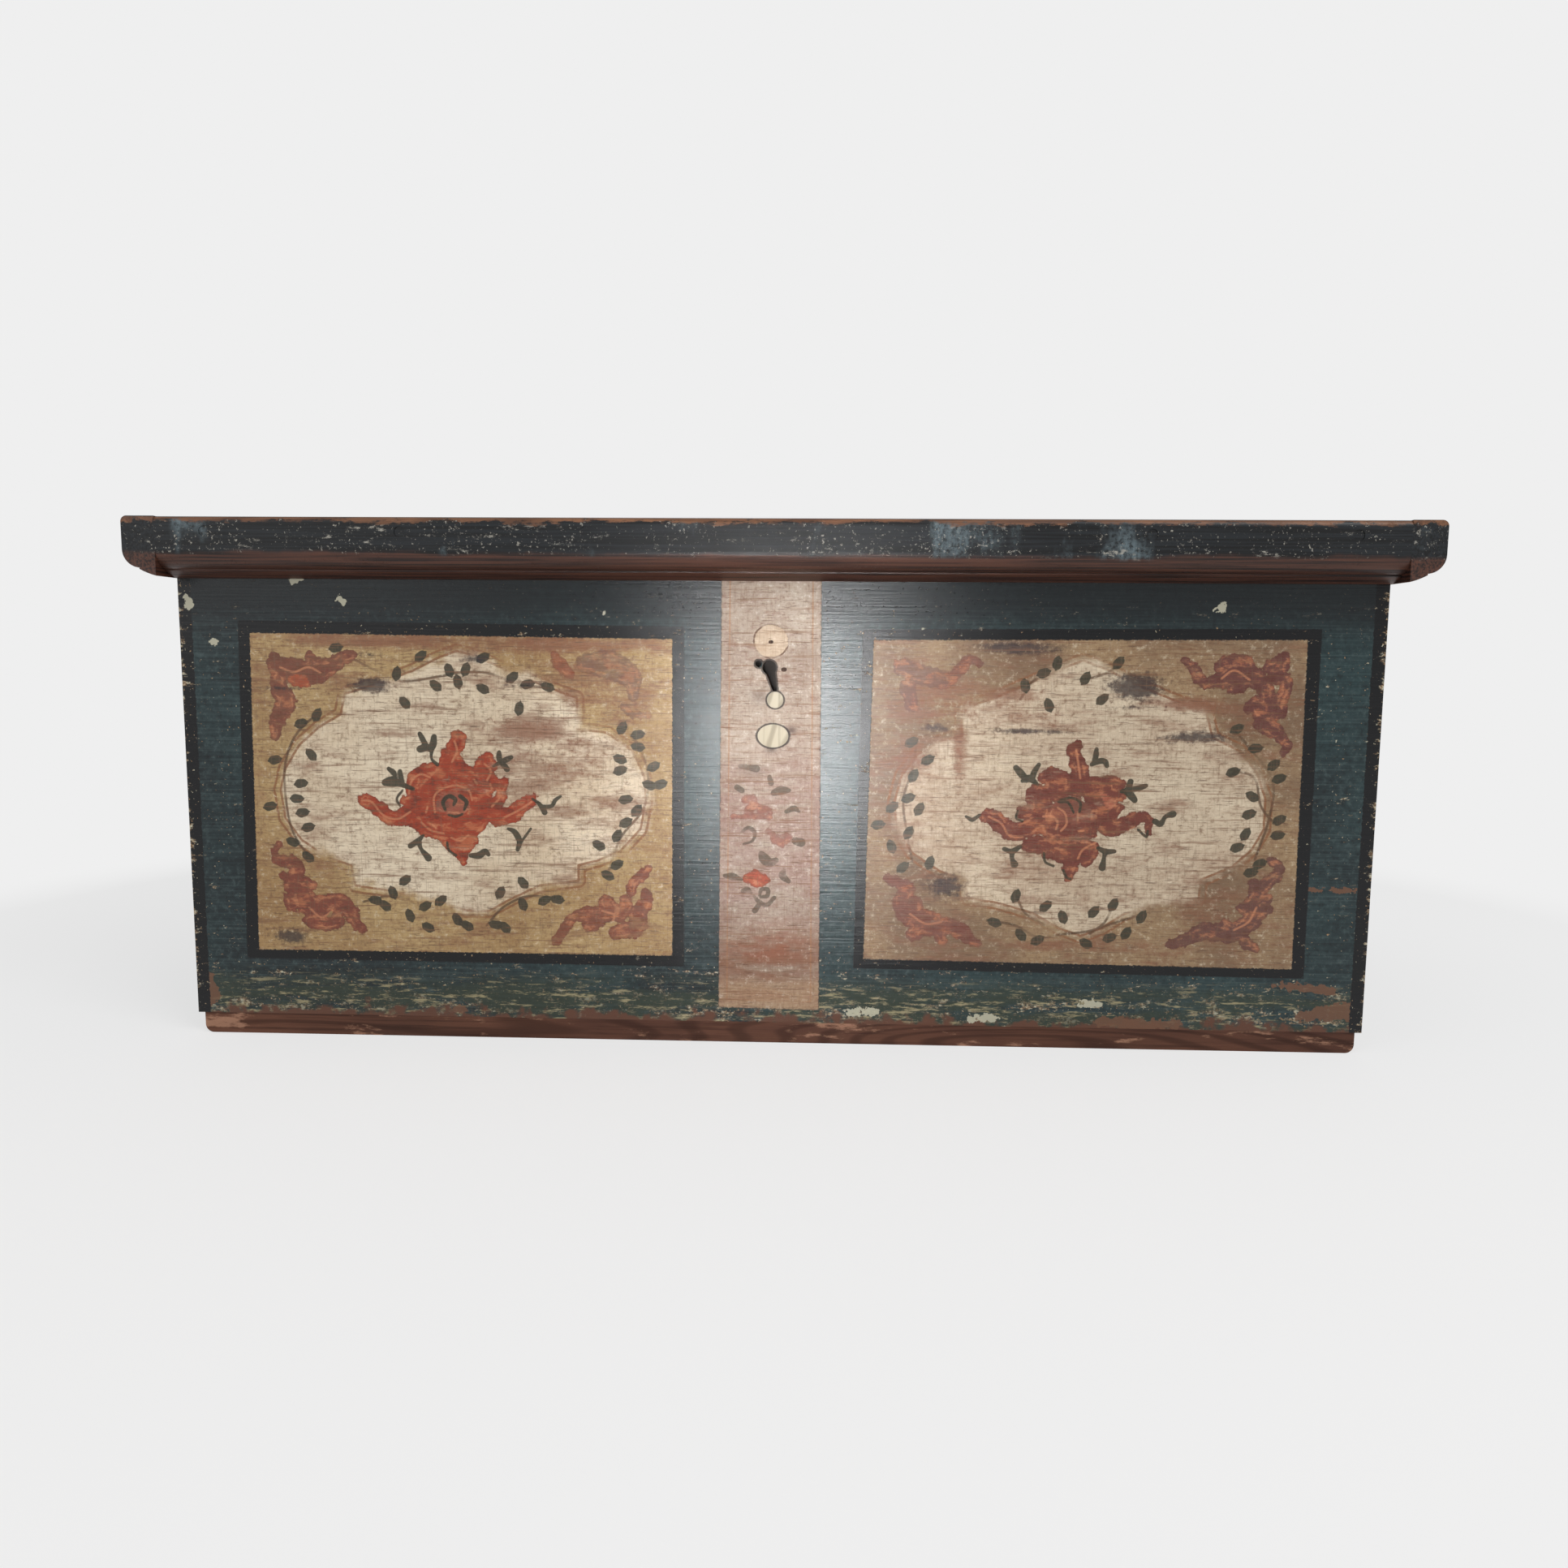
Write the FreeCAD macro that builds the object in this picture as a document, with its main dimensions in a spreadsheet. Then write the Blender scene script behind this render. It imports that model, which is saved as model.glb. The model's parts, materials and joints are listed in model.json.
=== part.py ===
"""A painted blanket chest: a dovetailed softwood box with a nailed plank bottom and a moulded lid.

The lid turns on two wrought strap hinges at the back. A box lock inside the front takes a staple that
hangs from the lid. Millimetres; +X along the front, +Y from front to back, +Z up. The origin is on the
floor, under the middle of the chest.
"""

import math
import os
import re

import FreeCAD
import Part
from FreeCAD import Placement, Rotation, Vector

SIZES = {
    # carcass
    "carcass_length": 1230,
    "carcass_depth": 540,
    "wall_height": 489,
    "wall": 26,
    "bottom_thickness": 22,
    "bottom_end_inset": 7,
    "bottom_gap": 1,
    "bottom_corner_round": 9,
    "tail_margin": 14,
    "tail_root": 40,
    "tail_flare": 6,
    # lid
    "lid_thickness": 30,
    "lid_gap": 1.5,
    "rear_plank_width": 320,
    "projection": 35,
    "moulding_drop": 29,
    "fascia_round": 6,
    "fascia_drop": 3,
    "nosing_inset": 15.5,
    "nosing_drop": 21,
    "quirk_inset": 17,
    "quirk_drop": 22.5,
    "cove_sag": 0.6,
    # keyhole and the plugs of an older lock
    "keyhole_x": -3,
    "keyhole_drop": 116,
    "keyhole_radius": 8,
    "keyhole_slot_drop": 24,
    "keyhole_slot_top": 11,
    "keyhole_slot_foot": 6,
    "keyhole_lean": 6,
    "keyhole_notch_radius": 4,
    "keyhole_notch_x": -12,
    "keyhole_notch_z": 4,
    "plug_depth": 16,
    "plug_fit": 0.1,
    "plug_sink": 0.4,
    "round_plug_x": 3,
    "round_plug_drop": 149,
    "round_plug_radius": 8.5,
    "oval_plug_x": 1,
    "oval_plug_drop": 186,
    "oval_plug_major": 16,
    "oval_plug_minor": 12,
    # hinges
    "hinge_x": 400,
    "iron": 4,
    "strap_width": 32,
    "strap_end_width": 20,
    "strap_length": 300,
    "leaf_length": 150,
    "finial_length": 62,
    "finial_width": 36,
    "finial_neck": 12,
    "eye_radius": 8,
    "eye_width": 16,
    "eye_gap": 0.4,
    "hinge_gap": 1,
    "pin_radius": 4,
    "pin_clearance": 0.05,
    "pin_head": 2.5,
    "pin_head_radius": 6.5,
    "notch_clearance": 0.5,
    # lock
    "plate_iron": 3,
    "plate_margin": 20,
    "plate_skirt": 28,
    "plate_corner": 8,
    "plate_nail_inset": 12,
    "lock_drop": 63,
    "case_width": 130,
    "case_height": 104,
    "case_depth": 40,
    "case_sheet": 2,
    "staple_width": 20,
    "staple_iron": 5,
    "staple_reach": 96,
    "staple_set_back": 12,
    "staple_foot_length": 70,
    "eye_slot_height": 14,
    "eye_slot_width": 11,
    "mouth_play": 5,
    "bolt_height": 10,
    "bolt_width": 8,
    "bolt_end_clear": 4.5,
    "bolt_gap": 2,
    "bolt_play": 0.3,
    "guide_length": 10,
    "guide_wall": 5,
    "talon_width": 8,
    "talon_drop": 9,
    "post_radius": 3,
    # nails
    "nail_radius": 2,
    "nail_head_radius": 5.5,
    "nail_head": 2.5,
    "nail_sink": 0.8,
    "nail_length": 26,
    "long_nail_length": 48,
    "lock_nail_length": 18,
    "overrun": 2,
}

# Places worked out from the sizes above, as text that the sheet's own formulas take.
PLACES = {
    "half_length": "carcass_length / 2",
    "hinge_reach": "hinge_gap + 2 * eye_radius",
    "front_face": "(projection - carcass_depth - hinge_reach) / 2",
    "back_face": "front_face + carcass_depth",
    "front_inside": "front_face + wall",
    "back_inside": "back_face - wall",
    "wall_foot": "bottom_thickness",
    "wall_top": "bottom_thickness + wall_height",
    "lid_top": "wall_top + lid_thickness",
    "keyhole_z": "wall_top - keyhole_drop",
    "round_plug_z": "wall_top - round_plug_drop",
    "oval_plug_z": "wall_top - oval_plug_drop",
    "lock_top": "wall_top - lock_drop",
    "plank_end": "half_length + lid_gap",
    "plank_front": "front_face - lid_gap",
    "plank_joint": "back_face - rear_plank_width",
    "lid_end": "half_length + projection",
    "lid_front": "front_face - projection",
    "axis_y": "back_face + hinge_gap + eye_radius",
    "axis_z": "wall_top - eye_radius",
    "bolt_y": "front_inside + staple_set_back + staple_width / 2",
    "bolt_z": "wall_top - staple_reach + eye_slot_height",
    "bolt_start": "keyhole_x + staple_iron / 2 + bolt_gap",
    "case_foot": "lock_top - case_height",
    "plate_foot": "case_foot - plate_skirt",
    "plate_width": "case_width + 2 * plate_margin",
    "bolt_length": "case_width / 2 - case_sheet - bolt_end_clear - staple_iron / 2 - bolt_gap",
    "bottom_depth": "carcass_depth - 2 * bottom_gap",
}

TAIL_COUNT = 6
BOTTOM_PLANKS = ("front", "middle", "rear")
STRAP_NAIL_SHARES = (0.12, 0.36, 0.6, 0.88)
LEAF_NAIL_SHARES = (0.3, 0.56, 0.8)
FRONT_NAIL_SHARES = (-0.92, -0.6, -0.3, 0, 0.3, 0.6, 0.92)
CLEAT_NAIL_SHARES = (0.1, 0.37, 0.64, 0.92)
BOTTOM_END_NAIL_SHARES = (0.22, 0.78)
BOTTOM_EDGE_NAIL_SHARES = (-0.72, -0.24, 0.24, 0.72)
STAPLE_NAIL_SHARES = (0.18, 0.5)
TALON_SHARE = 0.52

# Where the spear at a strap's end has its waist and its belly, back from the tip, and how its sides bulge.
FINIAL_WAIST_SHARE, FINIAL_BELLY_SHARE = 0.85, 0.5
FINIAL_NECK_ARC_SHARES = (0.86, 0.45)
FINIAL_TIP_ARC_SHARES = (0.62, 0.55)

doc = FreeCAD.newDocument("painted_chest")
sheet = doc.addObject("Spreadsheet::Sheet", "sizes")
for row, (alias, size) in enumerate(SIZES.items(), start=1):
    sheet.set(f"A{row}", alias)
    sheet.set(f"B{row}", str(size))
    sheet.setAlias(f"B{row}", alias)
doc.recompute()


def formula(text):
    """The text as a sheet formula: places are written out, and sizes point at their cells."""

    def expand(match):
        word = match.group()
        if word in PLACES:
            return "(" + formula(PLACES[word]) + ")"
        return "sizes." + word if word in SIZES else word

    return re.sub(r"[a-z_]+", expand, str(text))


def value(text):
    """A formula's value in millimetres."""
    return float(sheet.evalExpression(formula(text)))


def bind(item, **formulas):
    for name, text in formulas.items():
        item.setExpression(name, formula(text))
    return item


def put(item, x, y, z):
    for axis, text in zip("xyz", (x, y, z)):
        item.setExpression("Placement.Base." + axis, formula(text))
    return item


def block(name, x, y, z):
    """A box between pairs of formulas along each axis."""
    item = doc.addObject("Part::Box", name)
    spans = [f"({high}) - ({low})" for low, high in (x, y, z)]
    bind(item, Length=spans[0], Width=spans[1], Height=spans[2])
    return put(item, x[0], y[0], z[0])


TURNS = {
    "+z": Rotation(),
    "-z": Rotation(Vector(1, 0, 0), 180),
    "+y": Rotation(Vector(1, 0, 0), -90),
    "-y": Rotation(Vector(1, 0, 0), 90),
    "+x": Rotation(Vector(0, 1, 0), 90),
    "-x": Rotation(Vector(0, 1, 0), -90),
}


def rod(name, radius, length, at, way):
    item = doc.addObject("Part::Cylinder", name)
    item.Placement = Placement(Vector(), TURNS[way])
    bind(item, Radius=radius, Height=length)
    return put(item, *at)


def cone(name, foot, top, length, at, way):
    item = doc.addObject("Part::Cone", name)
    item.Placement = Placement(Vector(), TURNS[way])
    bind(item, Radius1=foot, Radius2=top, Height=length)
    return put(item, *at)


def fuse(name, shapes):
    item = doc.addObject("Part::MultiFuse", name)
    item.Shapes = shapes
    return item


def cut(name, base, cutters):
    tool = cutters[0]
    if len(cutters) > 1:
        tool = fuse(name + "_cutters", cutters)
    item = doc.addObject("Part::Cut", name)
    item.Base = base
    item.Tool = tool
    return item


def group(name, shapes):
    item = doc.addObject("Part::Compound", name)
    item.Links = shapes
    return item


finished = []


def piece(item, label):
    """Marks an object as a finished piece; its label names its file."""
    item.Label = label
    finished.append(item)
    return item


def outline_body(name, plane, path, length, reverse=False):
    """A body padded from a closed path: ("to", x, y) is a line, ("arc", mid x, mid y, x, y) an arc."""
    body = doc.addObject("PartDesign::Body", name)
    sketch = body.newObject("Sketcher::SketchObject", name + "_outline")
    planes = {f.Role: f for f in body.Origin.OriginFeatures}
    sketch.AttachmentSupport = [(planes[plane], "")]
    sketch.MapMode = "FlatFace"
    points = [Vector(*path[0][1:], 0)]
    for step in path[1:] + path[:1]:
        end = Vector(*step[-2:], 0)
        if step[0] == "arc":
            edge = Part.Arc(points[-1], Vector(*step[1:3], 0), end)
        else:
            edge = Part.LineSegment(points[-1], end)
        sketch.addGeometry(edge, False)
        points.append(end)
    pad = body.newObject("PartDesign::Pad", name + "_pad")
    pad.Profile = sketch
    pad.Reversed = reverse
    bind(pad, Length=length)
    return body


def opposite(way):
    return ("-" if way[0] == "+" else "+") + way[1]


def nail(name, at, way, length, proud):
    """A forged nail. Its head is a cone that stands proud of the point, or a disc let in at the point."""
    shank = rod(name + "_shank", "nail_radius", length, at, way)
    if proud:
        head = cone(name + "_head", "nail_head_radius", "nail_radius", "nail_head", at, opposite(way))
    else:
        head = rod(name + "_head", "nail_head_radius", "nail_head", at, way)
    return fuse(name, [head, shank])


def nails(label, places, way, length="nail_length", sunk=False):
    """A group of like nails. Gives back the shapes that their holes are cut with."""
    made = [nail(f"{label}_{i}", at, way, length, not sunk) for i, at in enumerate(places)]
    piece(group(label + "_group", made), label)
    if not sunk:
        return made
    back = opposite(way)
    seats = [
        rod(f"{label}_seat_{i}", "nail_head_radius", "nail_sink + overrun", at, back)
        for i, at in enumerate(places)
    ]
    return made + seats


# Dovetails: tails at both ends of the front and back boards, which pass through the side boards.
def tail(name, side, depth_from, number):
    """One tail, narrow at its root and flared at the end. Side is 1 at the right end, -1 at the left."""
    item = doc.addObject("Part::Wedge", name)
    item.Placement = Placement(Vector(), Rotation(Vector(0, 0, 1), -90 * side))
    pitch = f"((wall_height - 2 * tail_margin) / {TAIL_COUNT})"
    middle = f"wall_foot + tail_margin + {pitch} * ({number} + 0.5)"
    bind(item, Xmin="0", Xmax="wall", X2min="0", X2max="wall", Ymin="0", Ymax="wall")
    bind(item, Zmin="-tail_root / 2", Zmax="tail_root / 2")
    bind(item, Z2min="-tail_root / 2 - tail_flare", Z2max="tail_root / 2 + tail_flare")
    start = f"({depth_from}) + wall" if side > 0 else depth_from
    return put(item, f"{side} * (half_length - wall)", start, middle)


def tails(name, side, depth_from):
    return [tail(f"{name}_{number}", side, depth_from, number) for number in range(TAIL_COUNT)]


front_tails = {side: tails(f"front_tail_{side + 1}", side, "front_face") for side in (-1, 1)}
back_tails = {side: tails(f"back_tail_{side + 1}", side, "back_inside") for side in (-1, 1)}
inner_span = ("wall - half_length", "half_length - wall")
wall_span = ("wall_foot", "wall_top")

# Nails of the bottom: the heads are let into the underside, and the shanks go up into the walls.
plank_share = 1 / len(BOTTOM_PLANKS)
bottom_nail_places = []
for side in (-1, 1):
    for number in range(len(BOTTOM_PLANKS)):
        for share in BOTTOM_END_NAIL_SHARES:
            depth = f"front_face + bottom_gap + bottom_depth * {(number + share) * plank_share}"
            bottom_nail_places.append((f"{side} * (half_length - wall / 2)", depth, "nail_sink"))
for line in ("front_face + wall / 2", "back_face - wall / 2"):
    for share in BOTTOM_EDGE_NAIL_SHARES:
        bottom_nail_places.append((f"{share} * half_length", line, "nail_sink"))
bottom_nails = nails("bottom_nails", bottom_nail_places, "+z", "long_nail_length", sunk=True)

# Bottom: three planks along the length, under the walls, with the front edge in view below the front.
for number, place in enumerate(BOTTOM_PLANKS):
    low = f"front_face + bottom_depth * {number * plank_share} + bottom_gap * {number}"
    high = f"front_face + bottom_depth * {(number + 1) * plank_share} + bottom_gap * {number}"
    ends = ("bottom_end_inset - half_length", "half_length - bottom_end_inset")
    plank = block(f"bottom_{place}_blank", ends, (low, high), ("0", "bottom_thickness"))
    rounded = doc.addObject("Part::Fillet", f"bottom_{place}_rounded")
    rounded.Base = plank
    doc.recompute()
    lower_corners = [
        i
        for i, edge in enumerate(plank.Shape.Edges, start=1)
        if abs(edge.BoundBox.ZMax) < value("overrun") and edge.BoundBox.XLength < value("overrun")
    ]
    corner_round = value("bottom_corner_round")
    rounded.Edges = [(i, corner_round, corner_round) for i in lower_corners]
    piece(cut(f"bottom_{place}", rounded, bottom_nails), f"bottom_plank_{place}")

# Front board: its keyhole, and blind holes where an older lock's holes are plugged.
keyhole_span = ("front_face - overrun", "front_inside + overrun")
keyhole_through = "wall + 2 * overrun"
keyhole_at = ("keyhole_x", keyhole_span[0], "keyhole_z")
keyhole_round = rod("keyhole_round", "keyhole_radius", keyhole_through, keyhole_at, "+y")
notch_at = ("keyhole_x + keyhole_notch_x", keyhole_span[0], "keyhole_z + keyhole_notch_z")
keyhole_notch = rod("keyhole_notch", "keyhole_notch_radius", keyhole_through, notch_at, "+y")
top_half, foot_half = value("keyhole_slot_top / 2"), value("keyhole_slot_foot / 2")
key_x, key_z = value("keyhole_x"), value("keyhole_z")
foot_x, foot_z = key_x + value("keyhole_lean"), key_z - value("keyhole_slot_drop")
keyhole_slot = outline_body(
    "keyhole_slot",
    "XZ_Plane",
    [
        ("to", key_x - top_half, key_z),
        ("to", foot_x - foot_half, foot_z),
        ("arc", foot_x, foot_z - foot_half, foot_x + foot_half, foot_z),
        ("to", key_x + top_half, key_z),
    ],
    keyhole_through,
    reverse=True,
)
put(keyhole_slot, "0", keyhole_span[0], "0")


def round_plug(name, fit, start, depth):
    return rod(name, f"round_plug_radius - {fit}", depth, ("round_plug_x", start, "round_plug_z"), "+y")


def oval_plug(name, fit, start, depth):
    rim = doc.addObject("Part::Ellipse", name + "_rim")
    bind(rim, MajorRadius=f"oval_plug_major - {fit}", MinorRadius=f"oval_plug_minor - {fit}")
    rim.Placement = Placement(Vector(), TURNS["-y"])
    put(rim, "oval_plug_x", start, "oval_plug_z")
    item = doc.addObject("Part::Extrusion", name)
    item.Base = rim
    item.DirMode = "Custom"
    item.Dir = Vector(0, 1, 0)
    item.Solid = True
    bind(item, LengthFwd=depth)
    return item


plug_holes = []
for shape, make in (("round", round_plug), ("oval", oval_plug)):
    plug_holes.append(make(f"{shape}_plug_hole", "0", "front_face - overrun", "plug_depth + overrun"))
    plug = make(f"{shape}_plug", "plug_fit", "front_face + plug_sink", "plug_depth - plug_sink")
    piece(plug, f"old_lock_plug_{shape}")

# Nails of the lock's plate go forward into the front board, short of its face.
plate_nail_places = []
for side in (-1, 1):
    for height in ("plate_foot + plate_nail_inset", "lock_top - plate_nail_inset"):
        x = f"keyhole_x + {side} * (plate_width / 2 - plate_nail_inset)"
        plate_nail_places.append((x, "front_inside + plate_iron", height))
plate_nails = nails("lock_plate_nails", plate_nail_places, "-y", "lock_nail_length")

front_core = block("front_core", inner_span, ("front_face", "front_inside"), wall_span)
front_blank = fuse("front_blank", [front_core] + front_tails[-1] + front_tails[1])
front_cutters = [keyhole_round, keyhole_notch, keyhole_slot] + plug_holes + plate_nails + bottom_nails
piece(cut("front", front_blank, front_cutters), "front_board")

# Back board: notches in its top edge let the hinge straps pass under the lid.
back_core = block("back_core", inner_span, ("back_inside", "back_face"), wall_span)
back_blank = fuse("back_blank", [back_core] + back_tails[-1] + back_tails[1])
strap_notches = []
for side in (-1, 1):
    half = "strap_width / 2 + notch_clearance"
    across = (f"{side} * hinge_x - ({half})", f"{side} * hinge_x + {half}")
    along = ("back_inside - overrun", "back_face + overrun")
    up = ("wall_top - iron - notch_clearance", "wall_top + overrun")
    strap_notches.append(block(f"strap_notch_{side + 1}", across, along, up))

leaf_nail_places = []
for side in (-1, 1):
    for share in LEAF_NAIL_SHARES:
        height = f"axis_z - leaf_length * {share}"
        leaf_nail_places.append((f"{side} * hinge_x", "back_face + iron", height))
leaf_nails = nails("hinge_leaf_nails", leaf_nail_places, "-y")
piece(cut("back", back_blank, strap_notches + leaf_nails + bottom_nails), "back_board")

# Side boards: the pins between the tails' sockets.
for side, name in ((-1, "left_side"), (1, "right_side")):
    outer, inner = f"{side} * half_length", f"{side} * (half_length - wall)"
    across = (outer, inner) if side < 0 else (inner, outer)
    board = block(name + "_blank", across, ("front_face", "back_face"), wall_span)
    sockets = front_tails[side] + back_tails[side]
    piece(cut(name, board, sockets + bottom_nails), name + "_board")

# Strap hinges: a long strap under the lid, a shorter leaf on the back, and a riveted pin.
def strap_outline(length):
    """Half of a strap seen flat, from its root at 0: a taper, a neck, and a spear-shaped end."""
    root, end = value("strap_width / 2"), value("strap_end_width / 2")
    neck, spear = value("finial_neck / 2"), value("finial_width / 2")
    finial = value("finial_length")
    straight = value("2 * eye_radius")
    shoulder, waist, tip = length - finial, length - finial * FINIAL_WAIST_SHARE, length
    belly = length - finial * FINIAL_BELLY_SHARE
    neck_wide, neck_long = FINIAL_NECK_ARC_SHARES
    tip_wide, tip_long = FINIAL_TIP_ARC_SHARES
    neck_x, neck_y = spear * neck_wide, waist + (belly - waist) * neck_long
    tip_x, tip_y = spear * tip_wide, belly + (tip - belly) * tip_long
    right = [("to", root, 0), ("to", root, straight), ("to", end, shoulder), ("to", neck, waist)]
    right += [("arc", neck_x, neck_y, spear, belly), ("arc", tip_x, tip_y, 0, tip)]
    left = [("arc", -tip_x, tip_y, -spear, belly), ("arc", -neck_x, neck_y, -neck, waist)]
    left += [("to", -end, shoulder), ("to", -root, straight), ("to", -root, 0)]
    return right + left


def flipped(path):
    return [(step[0],) + tuple(n if i % 2 == 0 else -n for i, n in enumerate(step[1:])) for step in path]


strap_nail_places = []
for side in (-1, 1):
    for share in STRAP_NAIL_SHARES:
        depth = f"back_face - strap_length * {share}"
        strap_nail_places.append((f"{side} * hinge_x", depth, "wall_top - iron"))
strap_nails = nails("hinge_strap_nails", strap_nail_places, "+z")

for side, name in ((-1, "left"), (1, "right")):
    centre = f"{side} * hinge_x"
    pin_bore = rod(
        f"{name}_pin_bore",
        "pin_radius + pin_clearance",
        "2 * strap_width",
        (f"{centre} - strap_width", "axis_y", "axis_z"),
        "+x",
    )
    strap_flat = outline_body(
        f"{name}_strap_flat", "XY_Plane", flipped(strap_outline(value("strap_length"))), "iron"
    )
    put(strap_flat, centre, "back_face", "wall_top - iron")
    neck_across = (f"{centre} - eye_width / 2", f"{centre} + eye_width / 2")
    neck = block(f"{name}_neck", neck_across, ("back_face", "axis_y"), ("wall_top - iron", "wall_top"))
    eye_at = (f"{centre} - eye_width / 2", "axis_y", "axis_z")
    eye = rod(f"{name}_strap_eye", "eye_radius", "eye_width", eye_at, "+x")
    strap = fuse(f"{name}_strap_blank", [strap_flat, neck, eye])
    piece(cut(f"{name}_strap", strap, [pin_bore] + strap_nails), f"hinge_strap_{name}")

    leaf_flat = outline_body(
        f"{name}_leaf_flat", "XZ_Plane", flipped(strap_outline(value("leaf_length"))), "iron", reverse=True
    )
    put(leaf_flat, centre, "back_face", "axis_z")
    gap_half = "(eye_width / 2 + eye_gap)"
    gap_across = (f"{centre} - {gap_half}", f"{centre} + {gap_half}")
    gap_along = ("back_face - overrun", "back_face + iron + overrun")
    gap_up = ("axis_z - eye_radius - eye_gap", "axis_z + overrun")
    eye_slot = block(f"{name}_eye_slot", gap_across, gap_along, gap_up)
    forked = cut(f"{name}_leaf_forked", leaf_flat, [eye_slot])
    leaf_eyes = []
    for end, start in (("a", f"{centre} - strap_width / 2"), ("b", f"{centre} + {gap_half}")):
        eye_length = f"strap_width / 2 - {gap_half}"
        solid_eye = rod(f"{name}_leaf_eye_{end}", "eye_radius", eye_length, (start, "axis_y", "axis_z"), "+x")
        leaf_eyes.append(cut(f"{name}_leaf_ring_{end}", solid_eye, [pin_bore]))
    leaf = fuse(f"{name}_leaf_blank", [forked] + leaf_eyes)
    piece(cut(f"{name}_leaf", leaf, leaf_nails), f"hinge_leaf_{name}")

    pin_at = (f"{centre} - strap_width / 2", "axis_y", "axis_z")
    pin = rod(f"{name}_pin_shank", "pin_radius", "strap_width", pin_at, "+x")
    heads = [
        cone(f"{name}_pin_head_a", "pin_head_radius", "pin_radius", "pin_head", pin_at, "-x"),
        cone(
            f"{name}_pin_head_b",
            "pin_head_radius",
            "pin_radius",
            "pin_head",
            (f"{centre} + strap_width / 2", "axis_y", "axis_z"),
            "+x",
        ),
    ]
    piece(fuse(f"{name}_pin", [pin] + heads), f"hinge_pin_{name}")

# Moulding round the front and the ends of the lid. One section serves all three lengths.
def moulding_section():
    """The section, outwards from the walls and up from their top. The nosing is tangent to the fascia."""
    out, inner, top = value("projection"), value("lid_gap"), value("lid_thickness")
    round_off, foot = value("fascia_round"), -value("moulding_drop")
    nose_out, nose_foot = out - value("nosing_inset"), -value("nosing_drop")
    quirk_out, quirk_foot = out - value("quirk_inset"), -value("quirk_drop")
    fascia_foot = -value("fascia_drop")
    bend = round_off * (1 - 0.5**0.5)
    run, rise = out - nose_out, fascia_foot - nose_foot
    radius, half_turn = (run**2 + rise**2) / (2 * run), math.atan2(run, rise)
    nose_mid = (out - radius * (1 - math.cos(half_turn)), fascia_foot - radius * math.sin(half_turn))
    cove_mid = ((quirk_out + inner) / 2, (quirk_foot + foot) / 2 - value("cove_sag"))
    return [
        ("to", inner, top),
        ("to", out - round_off, top),
        ("arc", out - bend, top - bend, out, top - round_off),
        ("to", out, fascia_foot),
        ("arc", *nose_mid, nose_out, nose_foot),
        ("to", quirk_out, nose_foot),
        ("to", quirk_out, quirk_foot),
        ("arc", *cove_mid, inner, foot),
    ]


def mirrored(path):
    return [(step[0],) + tuple(-n if i % 2 == 0 else n for i, n in enumerate(step[1:])) for step in path]


moulding_nail_places = [
    (f"{share} * half_length", "lid_front + nail_sink", "wall_top + lid_thickness / 2")
    for share in FRONT_NAIL_SHARES
]
front_nails = nails("front_moulding_nails", moulding_nail_places, "+y", "long_nail_length", sunk=True)
cleat_nails = {}
for side, name, way in ((-1, "left", "+x"), (1, "right", "-x")):
    end, height = f"{side} * (lid_end - nail_sink)", "wall_top + lid_thickness / 2"
    places = [(end, f"front_face + carcass_depth * {share}", height) for share in CLEAT_NAIL_SHARES]
    cleat_nails[name] = nails(f"{name}_cleat_nails", places, way, "long_nail_length", sunk=True)

front_bar = outline_body("front_moulding_bar", "YZ_Plane", mirrored(moulding_section()), "2 * plank_end")
put(front_bar, "-plank_end", "front_face", "wall_top")
piece(cut("front_moulding", front_bar, front_nails), "lid_front_moulding")

for side, name in ((-1, "left"), (1, "right")):
    section = moulding_section() if side > 0 else mirrored(moulding_section())
    bar = outline_body(f"{name}_cleat_bar", "XZ_Plane", section, "back_face - lid_front", reverse=True)
    put(bar, f"{side} * half_length", "lid_front", "wall_top")
    piece(cut(f"{name}_cleat", bar, cleat_nails[name]), f"lid_{name}_cleat")

# Staple: an iron foot under the lid, bent down to an eye that the lock's bolt passes through.
staple_across = ("keyhole_x - staple_iron / 2", "keyhole_x + staple_iron / 2")
staple_near = "front_inside + staple_set_back"
shank_along = (staple_near, f"{staple_near} + staple_width")
staple_shank = block(
    "staple_shank", staple_across, shank_along, ("wall_top - staple_reach", "wall_top")
)
foot_across = ("keyhole_x - staple_width / 2", "keyhole_x + staple_width / 2")
foot_along = (staple_near, f"{staple_near} + staple_foot_length")
staple_foot = block("staple_foot", foot_across, foot_along, ("wall_top - iron", "wall_top"))
eye_along = ("bolt_y - eye_slot_width / 2", "bolt_y + eye_slot_width / 2")
eye_across = ("keyhole_x - staple_iron", "keyhole_x + staple_iron")
eye_up = ("bolt_z - eye_slot_height / 2", "bolt_z + eye_slot_height / 2")
staple_eye = block("staple_eye", eye_across, eye_along, eye_up)
staple_nail_places = [
    ("keyhole_x", f"{staple_near} + staple_width + staple_foot_length * {share}", "wall_top - iron")
    for share in STAPLE_NAIL_SHARES
]
staple_nails = nails("staple_nails", staple_nail_places, "+z")
staple_blank = fuse("staple_blank", [staple_shank, staple_foot])
piece(cut("staple", staple_blank, [staple_eye] + staple_nails), "lock_staple")

# Lid planks, edge to edge, on the walls' top.
lid_up = ("wall_top", "lid_top")
lid_across = ("-plank_end", "plank_end")
front_plank = block("front_plank_blank", lid_across, ("plank_front", "plank_joint"), lid_up)
rear_plank = block("rear_plank_blank", lid_across, ("plank_joint", "back_face"), lid_up)
side_nails = cleat_nails["left"] + cleat_nails["right"]
piece(cut("front_plank", front_plank, front_nails + side_nails + staple_nails), "lid_plank_front")
piece(cut("rear_plank", rear_plank, strap_nails + side_nails), "lid_plank_rear")

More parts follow.
